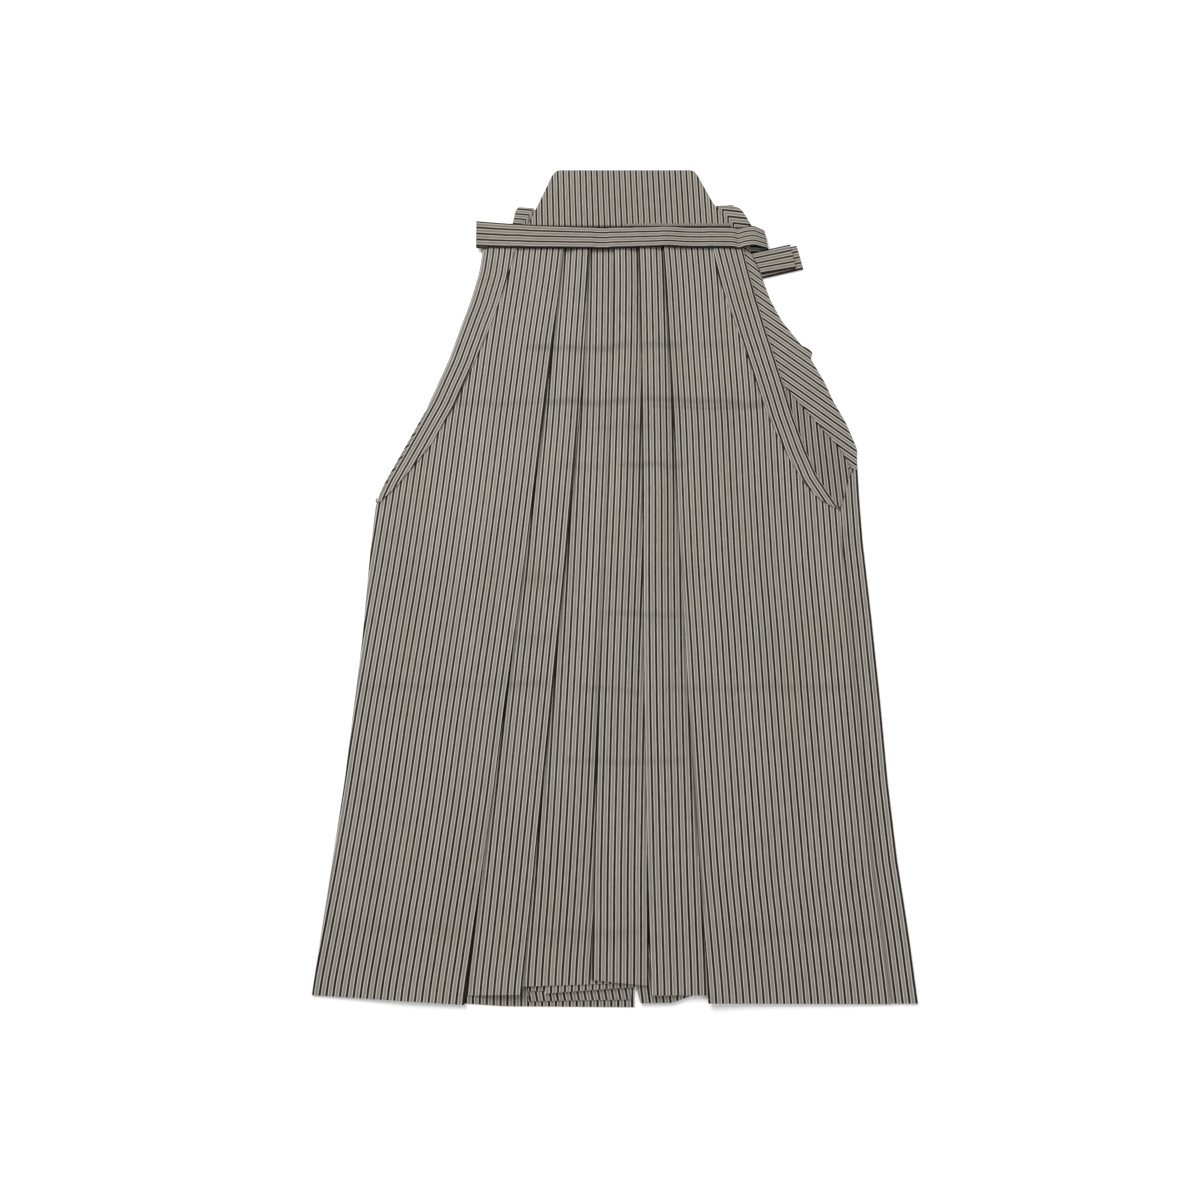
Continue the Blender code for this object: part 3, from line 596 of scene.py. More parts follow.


def striped_cloth(name, shade, seed, warm=0.0):
    """Woven cloth with dark stripes, a grey stripe halfway and pale ground between them."""
    made = bpy.data.materials.new(name)
    made.use_nodes = True
    tree = made.node_tree
    shader = tree.nodes["Principled BSDF"]
    start = Signal(tree, None)
    weave = start.node("ShaderNodeUVMap", {}, uv_map="weave")
    split = tree.nodes.new("ShaderNodeSeparateXYZ")
    tree.links.new(weave.socket, split.inputs[0])
    across = Signal(tree, split.outputs[0])
    along = Signal(tree, split.outputs[1])
    wander = start.noise(across * 0.6, along * 0.12, seed) - 0.5
    placed = across + wander * STRIPE_WANDER
    from_dark = start.math("ABSOLUTE", start.math("WRAP", placed, 0.5, -0.5))
    from_grey = 0.5 - from_dark
    yarn = start.noise(across * THREADS, along * 0.5, seed + 3.0, 1.0)
    fleck = start.noise(across * 5.0, along * THREADS, seed + 5.0, 1.0)
    edge = (yarn - 0.5) * STRIPE_FUZZ
    dark = 1.0 - (from_dark + edge).between(DARK_HALF - DARK_SOFT, DARK_HALF + DARK_SOFT)
    grey = 1.0 - (from_grey + edge).between(GREY_HALF - GREY_SOFT, GREY_HALF + GREY_SOFT)
    warmth = start.noise(across * 0.31, along * 0.03, seed + 7.0).between(0.35 - warm, 0.68 - warm)
    ground = grey.mix(warmth.mix(PALE, PALE_WARM), GREY)
    faded = start.noise(across * 0.43, along * 0.05, seed + 9.0).between(0.40, 0.72)
    woven = dark.mix(ground, faded.mix(DARK, DARK_WARM))
    patch = start.noise(across * 0.06, along * 0.05, seed + 11.0, 3.0) - 0.5
    # Painted shade: the piece's attribute darkens the cloth in creases, pleat corners and beside
    # the seam.
    painted_shade_amount = start.node("ShaderNodeAttribute", {}, 2, attribute_name="painted_shade")
    uneven = (yarn - 0.5) * YARN_TONE + (fleck - 0.5) * FLECK_TONE + patch * PATCH_TONE
    light = shade * (1.0 - painted_shade_amount * PAINTED_SHADE_SCALE + uneven)
    colour = start.node("ShaderNodeVectorMath", {0: woven, "Scale": light}, operation="SCALE")
    tree.links.new(colour.socket, shader.inputs["Base Color"])
    rough = CLOTH_ROUGHNESS + (fleck - 0.5) * 0.16 + dark * 0.05
    tree.links.new(rough.socket, shader.inputs["Roughness"])
    warp = start.math("SINE", across * (THREADS * 2.0 * math.pi))
    weft = start.math("SINE", along * (THREADS * 2.0 * math.pi))
    relief = warp * weft * 0.5 + (yarn - 0.5) * 0.8
    bump = start.node("ShaderNodeBump", {"Height": relief, "Strength": 0.55,
                                         "Distance": WEAVE_RELIEF})
    tree.links.new(bump.socket, shader.inputs["Normal"])
    shader.inputs["Sheen Weight"].default_value = 0.03
    shader.inputs["Sheen Roughness"].default_value = 0.45
    shader.inputs["Specular IOR Level"].default_value = 0.12
    return made


def add_cloth(name, points, faces, weave, made, marks=(crease_painted_shade,)):
    """Adds a piece with its weave as a UV map, its material and the shade painted on it."""
    mesh = bpy.data.meshes.new(name)
    mesh.from_pydata([tuple(point) for point in points], [], faces)
    mesh.update()
    layer = mesh.uv_layers.new(name="weave")
    corners = np.empty(len(mesh.loops), dtype=np.int64)
    mesh.loops.foreach_get("vertex_index", corners)
    layer.data.foreach_set("uv", np.asarray(weave)[corners].astype(np.float32).ravel())
    place = np.asarray(points) / MM
    painted_shade = mesh.attributes.new("painted_shade", "FLOAT", "POINT")
    painted_shade_total = sum(mark(place[:, 0], place[:, 1]) for mark in marks)
    painted_shade.data.foreach_set("value", painted_shade_total.astype(np.float32))
    mesh.materials.append(made)
    mesh.shade_smooth()
    mesh.set_sharp_from_angle(angle=math.radians(50.0))
    piece = bpy.data.objects.new(name, mesh)
    bpy.context.scene.collection.objects.link(piece)
    return piece


def settle(piece, node):
    """Puts a piece of cloth in the place of its solid."""
    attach(piece, "root")
    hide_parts(node)


def heights(top, bottom, step=ROW_STEP):
    count = int(round((top - bottom) / step)) + 1
    return section_run(top, bottom, count)


def creased_heights(top, bottom):
    """Heights of sections that lie closer together across the level creases."""
    steps = int(CREASE_REACH / CREASE_STEP)
    places = heights(top, bottom)
    for crease in level_creases():
        middle = (crease.y1 + crease.y2) / 2.0
        places += [middle + CREASE_STEP * step for step in range(-steps, steps + 1)]
    places = sorted((place for place in places if bottom <= place <= top), reverse=True)
    kept = [top]
    for place in places:
        if kept[-1] - place > CREASE_STEP * 0.8 and place - bottom > CREASE_STEP * 0.8:
            kept.append(place)
    return kept + [bottom]


front_cloth = striped_cloth("front_cloth", 1.0, 1.0)
left_sections = [left_front_section(height) for height in creased_heights(FRONT_TOP, HEM)]
# Painted shade in the level creases and in the pleats' corners.
left_front = add_cloth("left_front", *cloth_wall(left_sections), front_cloth,
                       (crease_painted_shade, pleat_painted_shade))
settle(left_front, "front_left_leg")


# Right front.
# The second leg's front, laid over the centre panel's edge and pressed into two pleats.
# It ends at the seam along the right side opening.
RIGHT_FOLD = (
    Edge(402, 158), Edge(376, 162), Edge(347, 167.5), Edge(308, 175.5),
    Edge(264, 185.5), Edge(220, 196.5), Edge(157, 212), Edge(115, 224),
    Edge(81, 236), Edge(55, 250.5), Edge(37, 261), Edge(-30, 260.5),
    Edge(-113, 262.5), Edge(-244, 266.5), Edge(-369, 271.5), Edge(-480, 280.5),
)
GUSSET_RIGHT_END = (Edge(CROTCH, 36.0), Edge(-478, 83.0))
CENTRE_SLOPE = 36.0           # the slope over the left front's centre panel ends this far out
OVER_BIAS = (150.0, 200.0)    # heights over which the side rises onto the bias fold
SEAM = 0.3
SEAM_PAINTED_SHADE = 0.75              # shade painted beside the seam, as a share of the shade painted in a 1 mm trough
SEAM_MARK_PLACE = 3.0
SEAM_MARK_WIDTH = 4.0
SEAM_MARK_TOP = (40.0, 0.0)   # heights over which it begins


def right_underlay(x, height):
    """Levels of hidden cloth between the right back and the right front."""
    gusset = edge_at(GUSSET_RIGHT_END, height)
    centre_end = line_at(PLEAT_LINES, "centre_end", height)
    past_gusset = ease(gusset + SLOPE_GAP, gusset + GUSSET_SLOPE, x)
    past_centre = ease(centre_end + SLOPE_GAP, centre_end + CENTRE_SLOPE, x)
    over_gusset = 2.0 * legs_parted(height) * (1.0 - past_gusset)
    over_centre = 2.0 * (1.0 - past_centre)
    return over_gusset + over_centre


def right_side_at(height):
    return edge_at(RIGHT_FOLD, height, 2.0)


def seam_painted_shade(x, y):
    """How much shade is painted beside the side seam, below the opening."""
    seam = np.interp(-y, [-row.height for row in RIGHT_FOLD], [row.x for row in RIGHT_FOLD])
    beside = (x - seam - SEAM_MARK_PLACE) / SEAM_MARK_WIDTH
    return SEAM_PAINTED_SHADE * np.exp(-beside * beside) * ease(*SEAM_MARK_TOP, y)


def right_outer_level(x, height):
    """Level of the right front's outer panel, which slopes down to the side."""
    side = right_side_at(height)
    flat_to = line_at(PLEAT_LINES, "pleat5", height) + pleat_depth(5, height) + FLAT_BEYOND
    share = min(max((x - flat_to) / (side - flat_to), 0.0), 1.0)
    over_bias = ease(*OVER_BIAS, height)
    return 1.0 + right_underlay(x, height) + 2.0 - share * (2.0 - over_bias)


def right_front_section(height):
    line4, line5 = (line_at(PLEAT_LINES, f"pleat{number}", height) for number in (4, 5))
    depth4, depth5 = (pleat_depth(number, height) for number in (4, 5))
    side = right_side_at(height)
    inner5 = line5 + depth5
    fourth, fifth = stripes("panel4", height), stripes("panel5", height)
    hidden4, hidden5 = returned(fourth, line4, -1), returned(fifth, line5, -1)

    def base(x):
        return 1.0 + right_underlay(x, height)

    def behind(x):
        return base(x) + 1.0

    def fourth_panel(x):
        return base(x) + 1.0 - ease(line4 + depth4 + 2.0, line5 - 1.0, x)

    def outer_panel(x):
        return right_outer_level(x, height)

    panels = (
        Panel(5, 2.0, -0.5, base, hidden4), Panel(30, -1.0, -2.0, fourth_panel, fourth),
        Panel(5, -5.0, -8.0, behind, hidden5), Panel(50, -9.0, -10.0, outer_panel, fifth),
    )
    turns = (Turn(line4, -1, -1.0), Turn(inner5, 1, -4.0), Turn(line5, -1, -9.0))
    return folded_section(height, line4 + depth4, side - SEAM / 2.0, panels, turns)


right_sections = [right_front_section(height) for height in creased_heights(FRONT_TOP, HEM)]
# Painted shade in the creases, the pleats' corners and beside the side seam.
right_front = add_cloth("right_front", *cloth_wall(right_sections), front_cloth,
                        (crease_painted_shade, pleat_painted_shade, seam_painted_shade))
settle(right_front, "front_right_leg")


# Side folds.
# The fronts' slanting edges beside the side openings, turned over to the face and pressed,
# so their stripes run along the opening. They narrow to a point at its foot.
LEFT_FOLD_INNER = (
    Edge(402, -110), Edge(383, -116), Edge(336, -127), Edge(292, -139.5),
    Edge(260, -149.5), Edge(220, -165), Edge(169, -184.5), Edge(115, -212.5),
    Edge(66, -248.5), Edge(48, -266),
)
RIGHT_FOLD_INNER = (
    Edge(402, 120), Edge(379, 124.5), Edge(334, 131), Edge(277, 148),
    Edge(223, 164), Edge(169, 178.5), Edge(130, 193), Edge(100, 206),
    Edge(71, 221.5), Edge(52, 236.5), Edge(40, 256),
)
FOLD_COLUMNS = 16


def square_share(outline, height):
    """How much shorter a distance across a slanting edge is than one straight across."""
    slope = (outline(height + 6.0) - outline(height - 6.0)) / 12.0
    return 1.0 / math.hypot(1.0, slope)


def side_fold_sections(outline, outer, inner, level, rows, sign, start):
    """Sections from a fold's outer edge to its inner one. Its stripes follow the outline."""
    made = []
    for height in rows:
        places = section_run(outer(height) - 0.4 * sign, inner(height), FOLD_COLUMNS)
        share = square_share(outline, height)
        row = [(x, height, level_height(level(x, height) + 1.0),
                sign * (x - outline(height)) * share / PERIOD + start) for x in places]
        made.append(row if sign < 0 else row[::-1])
    return made


fold_cloth = striped_cloth("side_fold_cloth", 0.98, 4.0)
left_fold_rows = side_fold_sections(
    lambda y: edge_at(LEFT_FOLD, y), left_side_at, lambda y: edge_at(LEFT_FOLD_INNER, y, 3.0),
    left_outer_level, heights(FRONT_TOP, 48.0, 5.0), -1, -0.04)
left_side_fold = add_cloth("left_side_fold", *cloth_wall(left_fold_rows), fold_cloth)
settle(left_side_fold, "front_left_side_fold")
right_fold_rows = side_fold_sections(
    right_side_at, right_side_at, lambda y: edge_at(RIGHT_FOLD_INNER, y, 3.0),
    right_outer_level, heights(FRONT_TOP, 41.0, 5.0), 1, 0.30)
right_side_fold = add_cloth("right_side_fold", *cloth_wall(right_fold_rows), fold_cloth)
settle(right_side_fold, "front_right_side_fold")


# Backs.
# One layer each, flat on the floor under the fronts. Their top corners are turned over to
# the face on the bias: the right one fully, with a nick in its edge, and of the left one only
# a sliver shows. The right back's side comes round the right edge to the front's seam.
BACK_TOP = 408.6
WRAP_RETURN = 10.0
BIAS_SLANT = 39.0             # slope of the bias fold's stripes, in degrees
BIAS_FIRST = 0.15
LEFT_BIAS_FIRST = 0.50
BIAS_TURN = 0.001             # how fast they steepen above BIAS_TURN_FROM
BIAS_TURN_FROM = 280.0
BIAS_TURN_AT = 170.0
BACK_STRETCH = 30.0           # length below the fronts' edge over which the backs rise past it
SLIVER_TOP = 163.0
SLIVER_FOOT = 56.0
LEFT_BACK_LEAN = 0.010        # slope of the left back's stripes
WRAP_TOP = 87.8
WRAP_JOIN = 37.0              # from here down the wrap meets the right front at the seam
WRAP_HEM = -489.5
WRAP_FIRST = 0.22             # place of its first stripe, in periods from the edge
RIGHT_OUTLINE = (
    Edge(406, 158), Edge(395, 163.5), Edge(372, 173), Edge(344, 182.5), Edge(309, 192.5),
    Edge(280, 205.5), Edge(253, 224), Edge(247, 228), Edge(243.5, 236),
    Edge(238, 240), Edge(231, 237), Edge(200, 252), Edge(175, 261),
    Edge(149, 273.5), Edge(124, 282), Edge(114, 285), Edge(101, 284),
    Edge(50, 283.5), Edge(0, 284), Edge(-92, 288), Edge(-182, 291),
    Edge(-268, 293), Edge(-350, 297), Edge(-430, 304), Edge(-480, 307.5),
)
BIAS_EDGE = (
    Edge(395, 128), Edge(347, 138), Edge(308, 146), Edge(264, 156),
    Edge(236, 168), Edge(196, 204), Edge(180, 215), Edge(146, 241),
    Edge(115, 265.5), Edge(93, 276.0), Edge(88, 279.5),
)
WRAP_EDGE = (Edge(88, 277.0), Edge(71, 271.5), Edge(37, 261))
BACK_CENTRE = (Edge(406, 26.0), Edge(CROTCH, 24.5), Edge(-493, 21.0))
RIGHT_INNER = (Edge(406, 26.3), Edge(CROTCH, 24.8), Edge(-420, 22.5), Edge(-466, 23.0),
               Edge(-480, 27.4))
Hem = namedtuple("Hem", "x height")
BACK_LEFT_HEM = (Hem(-290, -480), Hem(-151, -489.5), Hem(-110, -492), Hem(21, -493))
BACK_RIGHT_HEM = (Hem(25, -478), Hem(150, -478), Hem(300, -489))
# Lean of the back's stripes seen through the right side opening.
OPENING_STRIPES = (Edge(300, 205), Edge(200, 210), Edge(120, 213), Edge(40, 217), Edge(-480, 238))


def back_section(left_edge, right_edge, hem_table, height, thread):
    rise = ease(FRONT_TOP - BACK_STRETCH, FRONT_TOP, height)
    risen = height + (BACK_TOP - FRONT_TOP) * rise
    drift = ease(HEM + HEM_DRIFT, HEM, height)
    return [(x, risen + (hem_at(hem_table, x) - HEM) * drift, level_height(0.0),
             thread(x, height))
            for x in section_run(left_edge(risen), right_edge(risen), 40)]


def hairpin_section(open_edge, outline, height, count, thread):
    """A layer on top, the fold at the right edge and a short return on the floor."""

    def upper(x):
        return thread(x, height)

    hem = WRAP_HEM - HEM
    panels = (Panel(count, hem, hem, lambda x: 1.0, upper),
              Panel(4, hem, hem, lambda x: 0.0, returned(upper, outline, 1)))
    return folded_section(height, open_edge, outline - WRAP_RETURN, panels,
                          [Turn(outline, 1, hem)])


def bias_thread(x, height):
    """Stripes of the cloth turned over on the bias, steeper near the waist."""
    slant = math.radians(BIAS_SLANT)
    turn = BIAS_TURN * max(height - BIAS_TURN_FROM, 0.0) * (x - BIAS_TURN_AT)
    return (x * math.sin(slant) + height * math.cos(slant) + turn) / PERIOD + BIAS_FIRST


def sliver_thread(x, height):
    """The same on the left back's corner, where they lean the other way."""
    slant = math.radians(BIAS_SLANT)
    return (height * math.cos(slant) - x * math.sin(slant)) / PERIOD + LEFT_BIAS_FIRST


# The backs' cloth is the fronts' cloth made darker: painted shade for the pieces that lie lowest,
# under the fronts and in the openings.
back_cloth = striped_cloth("back_cloth", 0.88, 8.0)
left_back_rows = [
    back_section(lambda y: left_side_at(y) + WRAP_LEFT + SEAM,
                 lambda y: edge_at(BACK_CENTRE, y), BACK_LEFT_HEM, height,
                 lambda x, y: (x + LEFT_BACK_LEAN * y) / PERIOD)
    for height in heights(FRONT_TOP, HEM, 12.0)]
left_back = add_cloth("left_back", *cloth_wall(left_back_rows), back_cloth)
settle(left_back, "back_left_leg")
sliver_rows = [
    [(x, height, level_height(0.0), sliver_thread(x, height))
     for x in section_run(edge_at(LEFT_FOLD, height), left_side_at(height) - SEAM / 2.0, 6)]
    for height in heights(SLIVER_TOP, SLIVER_FOOT, 3.0)]
left_sliver = add_cloth("left_back_fold", *cloth_wall(sliver_rows), back_cloth)
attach(left_sliver, "root")
right_back_rows = [
    back_section(lambda y: edge_at(RIGHT_INNER, y),
                 lambda y: edge_at(RIGHT_OUTLINE, y, 1.0) - WRAP_RETURN - SEAM,
                 BACK_RIGHT_HEM, height,
                 lambda x, y: (x - edge_at(OPENING_STRIPES, y)) / PERIOD)
    for height in heights(FRONT_TOP, HEM, 6.0)]
right_back = add_cloth("right_back", *cloth_wall(right_back_rows), back_cloth)
settle(right_back, "back_right_leg")
bias_heights = heights(395.0, 252.0, 5.0) + heights(250.0, 228.0, 1.5) + heights(225.0, 88.2, 5.0)
bias_rows = [
    hairpin_section(edge_at(BIAS_EDGE, height, 2.0), edge_at(RIGHT_OUTLINE, height, 1.0),
                    height, 28, bias_thread)
    for height in bias_heights]
bias_fold = add_cloth("right_back_fold", *cloth_wall(bias_rows), fold_cloth)
settle(bias_fold, "back_right_side_fold")
wrap_rows = []
for height in heights(WRAP_TOP, HEM, 5.0):
    seam = edge_at(WRAP_EDGE, height, 1.0) if height > WRAP_JOIN else right_side_at(height)
    side_line = edge_at(RIGHT_OUTLINE, height, 2.0)
    wrap_rows.append(hairpin_section(
        seam + SEAM / 2.0, side_line, height, 12,
        lambda x, y, side_line=side_line: (x - side_line) / PERIOD + WRAP_FIRST))
# Painted shade in the creases and beside the side seam.
side_wrap = add_cloth("right_side_wrap", *cloth_wall(wrap_rows), front_cloth,
                      (crease_painted_shade, seam_painted_shade))
settle(side_wrap, "back_right_side_wrap")


# Gussets.
# A width of cloth for each leg, sewn between front and back below the crotch and folded
# once. Only their hems show, between the legs.
GUSSET_RIGHT_HEM = (Hem(31, -489), Hem(59, -489), Hem(79, -482.5), Hem(83, -481))
GUSSET_HEM_SLOPE = 0.01       # how much deeper the right gusset's lower layer hangs
LEFT_GUSSET_LEAN = 0.03       # slopes of the gussets' stripes
LEFT_GUSSET_RETURN_LEAN = 0.20
RIGHT_GUSSET_LEAN = 0.12


def left_gusset_section(height):
    fold = edge_at(GUSSET_LEFT_FOLD, height)
    inner = edge_at(BACK_CENTRE, height) - 3.0

    def thread(x):
        return (x - LEFT_GUSSET_LEAN * height) / PERIOD

    def under(x):
        return (-x - LEFT_GUSSET_RETURN_LEAN * (height - HEM)) / PERIOD

    panels = (Panel(16, 6.0, 2.3, lambda x: 2.0, thread),
              Panel(16, -7.3, -5.5, lambda x: 1.0, under))
    return folded_section(height, inner, inner, panels, [Turn(fold, -1, -2.0)])


def right_gusset_section(height):
    fold = edge_at(RIGHT_INNER, height) + SEAM
    outer = edge_at(GUSSET_RIGHT_END, height)
    drift = ease(HEM + HEM_DRIFT, HEM, height)

    def thread(x):
        return (x + RIGHT_GUSSET_LEAN * height) / PERIOD

    panels = (Panel(16, 0.0, 0.0, lambda x: 2.0, thread),
              Panel(16, 0.0, 0.0, lambda x: 1.0, returned(thread, fold, -1)))
    made = folded_section(height, outer, outer, panels, [Turn(fold, -1, 0.0)])
    return [(x, y + (hem_at(GUSSET_RIGHT_HEM, x) + (x - fold) * GUSSET_HEM_SLOPE - HEM) * drift,
             z, count) for x, y, z, count in made]


gusset_rows = heights(-20.0, HEM, 10.0)
left_gusset = add_cloth("left_gusset", *cloth_wall(
    [left_gusset_section(height) for height in gusset_rows]), back_cloth)
settle(left_gusset, "gusset_left")
right_gusset = add_cloth("right_gusset", *cloth_wall(
    [right_gusset_section(height) for height in gusset_rows]), back_cloth)
settle(right_gusset, "gusset_right")


# Front himo.
# One long doubled tie. Its middle is a band over the fronts' upper edge, and its end is
# folded back along it, past the right side, where it makes an open loop.
HimoRow = namedtuple("HimoRow", "x lower upper lift slant")
HIMO_ROWS = (
    HimoRow(-165.5, 380.0, 411.0, 6.0, 0.0),
    HimoRow(-125, 378.0, 408.8, 3.0, 0.0),
    HimoRow(-85, 377.0, 407.8, 0.8, 0.0),
    HimoRow(-40, 376.6, 406.3, 0.2, 0.0),
    HimoRow(0, 376.5, 405.7, 0.0, 0.0),
    HimoRow(60, 377.5, 405.5, 0.0, 0.0),
    HimoRow(156, 377.5, 405.5, 0.0, 0.0),
    HimoRow(176, 377.2, 405.0, 0.0, 1.0),
    HimoRow(191, 375.4, 401.2, 0.0, 4.0),
)
BAND_START = -152.0
BAND_END = 155.0
TIE_START = -165.5
TIE_END = 191.0
LOOP_HEIGHT = 5.6
LOOP_RETURN = 17.0
HIMO_STRIPES = 4.2            # stripe periods across a tie
HIMO_FIRST = -0.1             # dark stripes lie just inside both edges
PINCH_X = 156.0               # where the tie leaves the band
CREST_X = 171.0
LOOP_DROP = 3.0               # how far the loop's lower layer shows below the upper one
LOOP_GAP = 0.3                # how much further down that layer lies than LOOP_HEIGHT
TURN_DROP = 2.2               # the same drop at the left end
HIMO_COLUMNS = 17
BAND_THICKNESS = 1.0
HIMO_THICKNESS = 1.1
# Soft bumps in the tie beside the pinch: up from the front, and up along it.
Bump = namedtuple("Bump", "height place width")
LOOP_WAVES = (Bump(2.4, CREST_X + 4.0, 9.0), Bump(-1.2, PINCH_X, 3.5))
LOOP_SWAYS = (Bump(0.9, CREST_X, 9.0), Bump(-1.3, PINCH_X, 5.0))


def front_surface(x, height=FRONT_TOP - 12.0, reach=7.0):
    """Highest middle of the fronts and their side folds near a place at the waist."""
    highest = 0.0
    for section in (left_front_section(height), right_front_section(height)):
        highest = max([highest] + [point[2] for point in section if abs(point[0] - x) < reach])
    if x < edge_at(LEFT_FOLD_INNER, height) + reach:
        highest = max(highest, level_height(left_outer_level(x, height) + 1.0))
    if x > edge_at(RIGHT_FOLD_INNER, height) - reach:
        highest = max(highest, level_height(right_outer_level(x, height) + 1.0))
    return highest


surface_places = section_run(BAND_START, BAND_END, 60)
surface_heights = [front_surface(x) for x in surface_places]


def himo_height(x):
    """Height of the middle of the band that is sewn over the fronts' upper edge."""
    near = [float(np.interp(x + step, surface_places, surface_heights))
            for step in (-18, -9, 0, 9, 18)]
    return max(near[2], sum(near) / 5.0) + LEVEL


def himo_point(x, share, z, drop=0.0, sway=0.0):
    lower = read(HIMO_ROWS, x, "x", "lower") - drop
    upper = read(HIMO_ROWS, x, "x", "upper")
    lift = read(HIMO_ROWS, x, "x", "lift")
    slant = read(HIMO_ROWS, x, "x", "slant")
    return (x + slant * (0.5 - share), lower + (upper - lower) * share + sway,
            z + lift * share)


def strap(path, thickness, start_thread=HIMO_FIRST):
    """Flat doubled tie along a path of (lower point, upper point): points, faces, weave."""
    lower = np.array([row[0] for row in path])
    upper = np.array([row[1] for row in path])
    middle = (lower + upper) / 2.0
    onward = np.gradient(middle, axis=0)
    onward /= np.linalg.norm(onward, axis=1)[:, None]
    normal = np.cross(onward, upper - lower)
    normal /= np.linalg.norm(normal, axis=1)[:, None]
    length = np.concatenate([[0.0], np.cumsum(np.linalg.norm(np.diff(middle, axis=0), axis=1))])
    shares = 0.5 - 0.5 * np.cos(np.linspace(0.0, math.pi, HIMO_COLUMNS))
    width = np.linalg.norm(upper - lower, axis=1).mean()
    rim = np.clip(np.minimum(shares, 1.0 - shares) * width / (thickness * 0.5), 0.0, 1.0)
    lift = thickness / 2.0 * np.sqrt(1.0 - (1.0 - rim) ** 2)
    points = []
    weave = []
    for index in range(len(path)):
        for side in (1, -1):
            order = range(HIMO_COLUMNS) if side > 0 else range(HIMO_COLUMNS - 2, 0, -1)
            for column in order:
                place = lower[index] + (upper[index] - lower[index]) * shares[column]
                points.append(place + side * normal[index] * lift[column])
                weave.append((shares[column] * HIMO_STRIPES + start_thread,
                              length[index] / PERIOD))
    ring = 2 * HIMO_COLUMNS - 2
    faces = []
    for row in range(len(path) - 1):
        for step in range(ring):
            after = (step + 1) % ring
            faces.append((row * ring + step, (row + 1) * ring + step,
                          (row + 1) * ring + after, row * ring + after))
    faces.append(tuple(range(ring)))
    faces.append(tuple((len(path) - 1) * ring + step for step in range(ring - 1, -1, -1)))
    return np.array(points) * MM, faces, weave


def bumps(table, x):
    return sum(bump.height * math.exp(-((x - bump.place) / bump.width) ** 2) for bump in table)


def tie_place(x, z, drop=0.0, wave=1.0, sway=1.0):
    """The tie's lower and upper point at x, with shares of the bumps."""
    z = z + wave * bumps(LOOP_WAVES, x)
    return [himo_point(x, share, z, drop, sway * bumps(LOOP_SWAYS, x)) for share in (0.0, 1.0)]


himo_cloth = striped_cloth("himo_cloth", 0.92, 12.0, 0.25)
band_path = [[himo_point(x, share, himo_height(x)) for share in (0.0, 1.0)]
             for x in section_run(BAND_START, BAND_END, 90)]
himo_band = add_cloth("front_himo_band_cloth", *strap(band_path, BAND_THICKNESS), himo_cloth)
settle(himo_band, "front_himo_band")

band_top = himo_height(BAND_END) + LEVEL
loop_low = band_top - LOOP_HEIGHT - LOOP_GAP
left_height = himo_height(BAND_START)
tie_path = [tie_place(BAND_START - 1.0, left_height, TURN_DROP, 0.0, 0.0)]
left_turn = fold_turn(TIE_START, left_height, left_height + LEVEL, -1, True)
for step, (x, z) in enumerate(left_turn):
    tie_path.append(tie_place(x, z, TURN_DROP * (1.0 - step / (len(left_turn) - 1)), 0.0, 0.0))
for x in [TIE_START + turn_room()] + section_run(-160.0, BAND_END - 14.0, 90):
    tie_path.append(tie_place(x, himo_height(x) + LEVEL, sway=0.0))
for x in section_run(BAND_END - 12.0, BAND_END + 30.0, 26):
    tie_path.append(tie_place(x, himo_height(min(x, BAND_END)) + LEVEL))
right_turn = fold_turn(TIE_END, loop_low, band_top, 1, False)
for step, (x, z) in enumerate(right_turn):
    tie_path.append(tie_place(x, z, LOOP_DROP * step / (len(right_turn) - 1), 0.6))
loop_room = LOOP_HEIGHT / 2.0 + CLOTH / 2.0
for step in (0.35, 0.7, 1.0):
    tie_path.append(tie_place(TIE_END - loop_room - LOOP_RETURN * step, loop_low - 0.5 * step,
                              LOOP_DROP, 0.0, 0.0))
himo_tie = add_cloth("front_himo_tie_cloth", *strap(tie_path, HIMO_THICKNESS), himo_cloth)
settle(himo_tie, "front_himo_tie")


# Back board and the roots of the back himo.
# A stiff board in a cover of the cloth with upright stripes, sewn to the backs' upper edge.
# The back ties leave its lower corners and turn down behind the garment; their stripes
# turn from upright to level in a mitre.
BOARD_LEFT = ((-104, 409), (-92, 438), (-78, 472.5), (-76.5, 477), (-73.5, 483.5),
              (-69.5, 488.5), (-64, 490))
BOARD_RIGHT = ((148, 409), (127, 443), (113.5, 472.5), (111.3, 477.5), (108.3, 484),
               (105, 488.5), (99, 490))
STUB_LEFT_SIDES = (((-123, 409), (-118.8, 433), (-115.5, 438.5)),
                   ((-104.5, 409), (-94.2, 433.5), (-96.5, 437)))
STUB_RIGHT_SIDES = (((148.5, 409), (129.4, 440)),
                    ((176, 409), (173.5, 413), (165.5, 429.5), (160.5, 436.5), (150, 441.5)))
BOARD_THICKNESS = 5.0
BOARD_ROUNDING = 2.4
BOARD_STRIPE = Edge(492.8, -66.9)   # a dark stripe's place near the board's top
BOARD_LEAN = 0.035
TIE_THICKNESS = 2.4
TIE_ROUNDING = 1.1
# Where a tie's stripes turn, and their periods beside the board and below.
Mitre = namedtuple("Mitre", "x y beside below lean")
LEFT_MITRE = Mitre(-97.8, 433.3, 4.0, 7.0, 0.1)
RIGHT_MITRE = Mitre(138.8, 434.0, 6.2, 8.6, math.radians(7.0))


def along_line(line, share):
    """Place on a bent line at a share of its length."""
    steps = [math.dist(a, b) for a, b in zip(line, line[1:])]
    marks = np.concatenate([[0.0], np.cumsum(steps)]) / sum(steps)
    return (float(np.interp(share, marks, [p[0] for p in line])),
            float(np.interp(share, marks, [p[1] for p in line])))


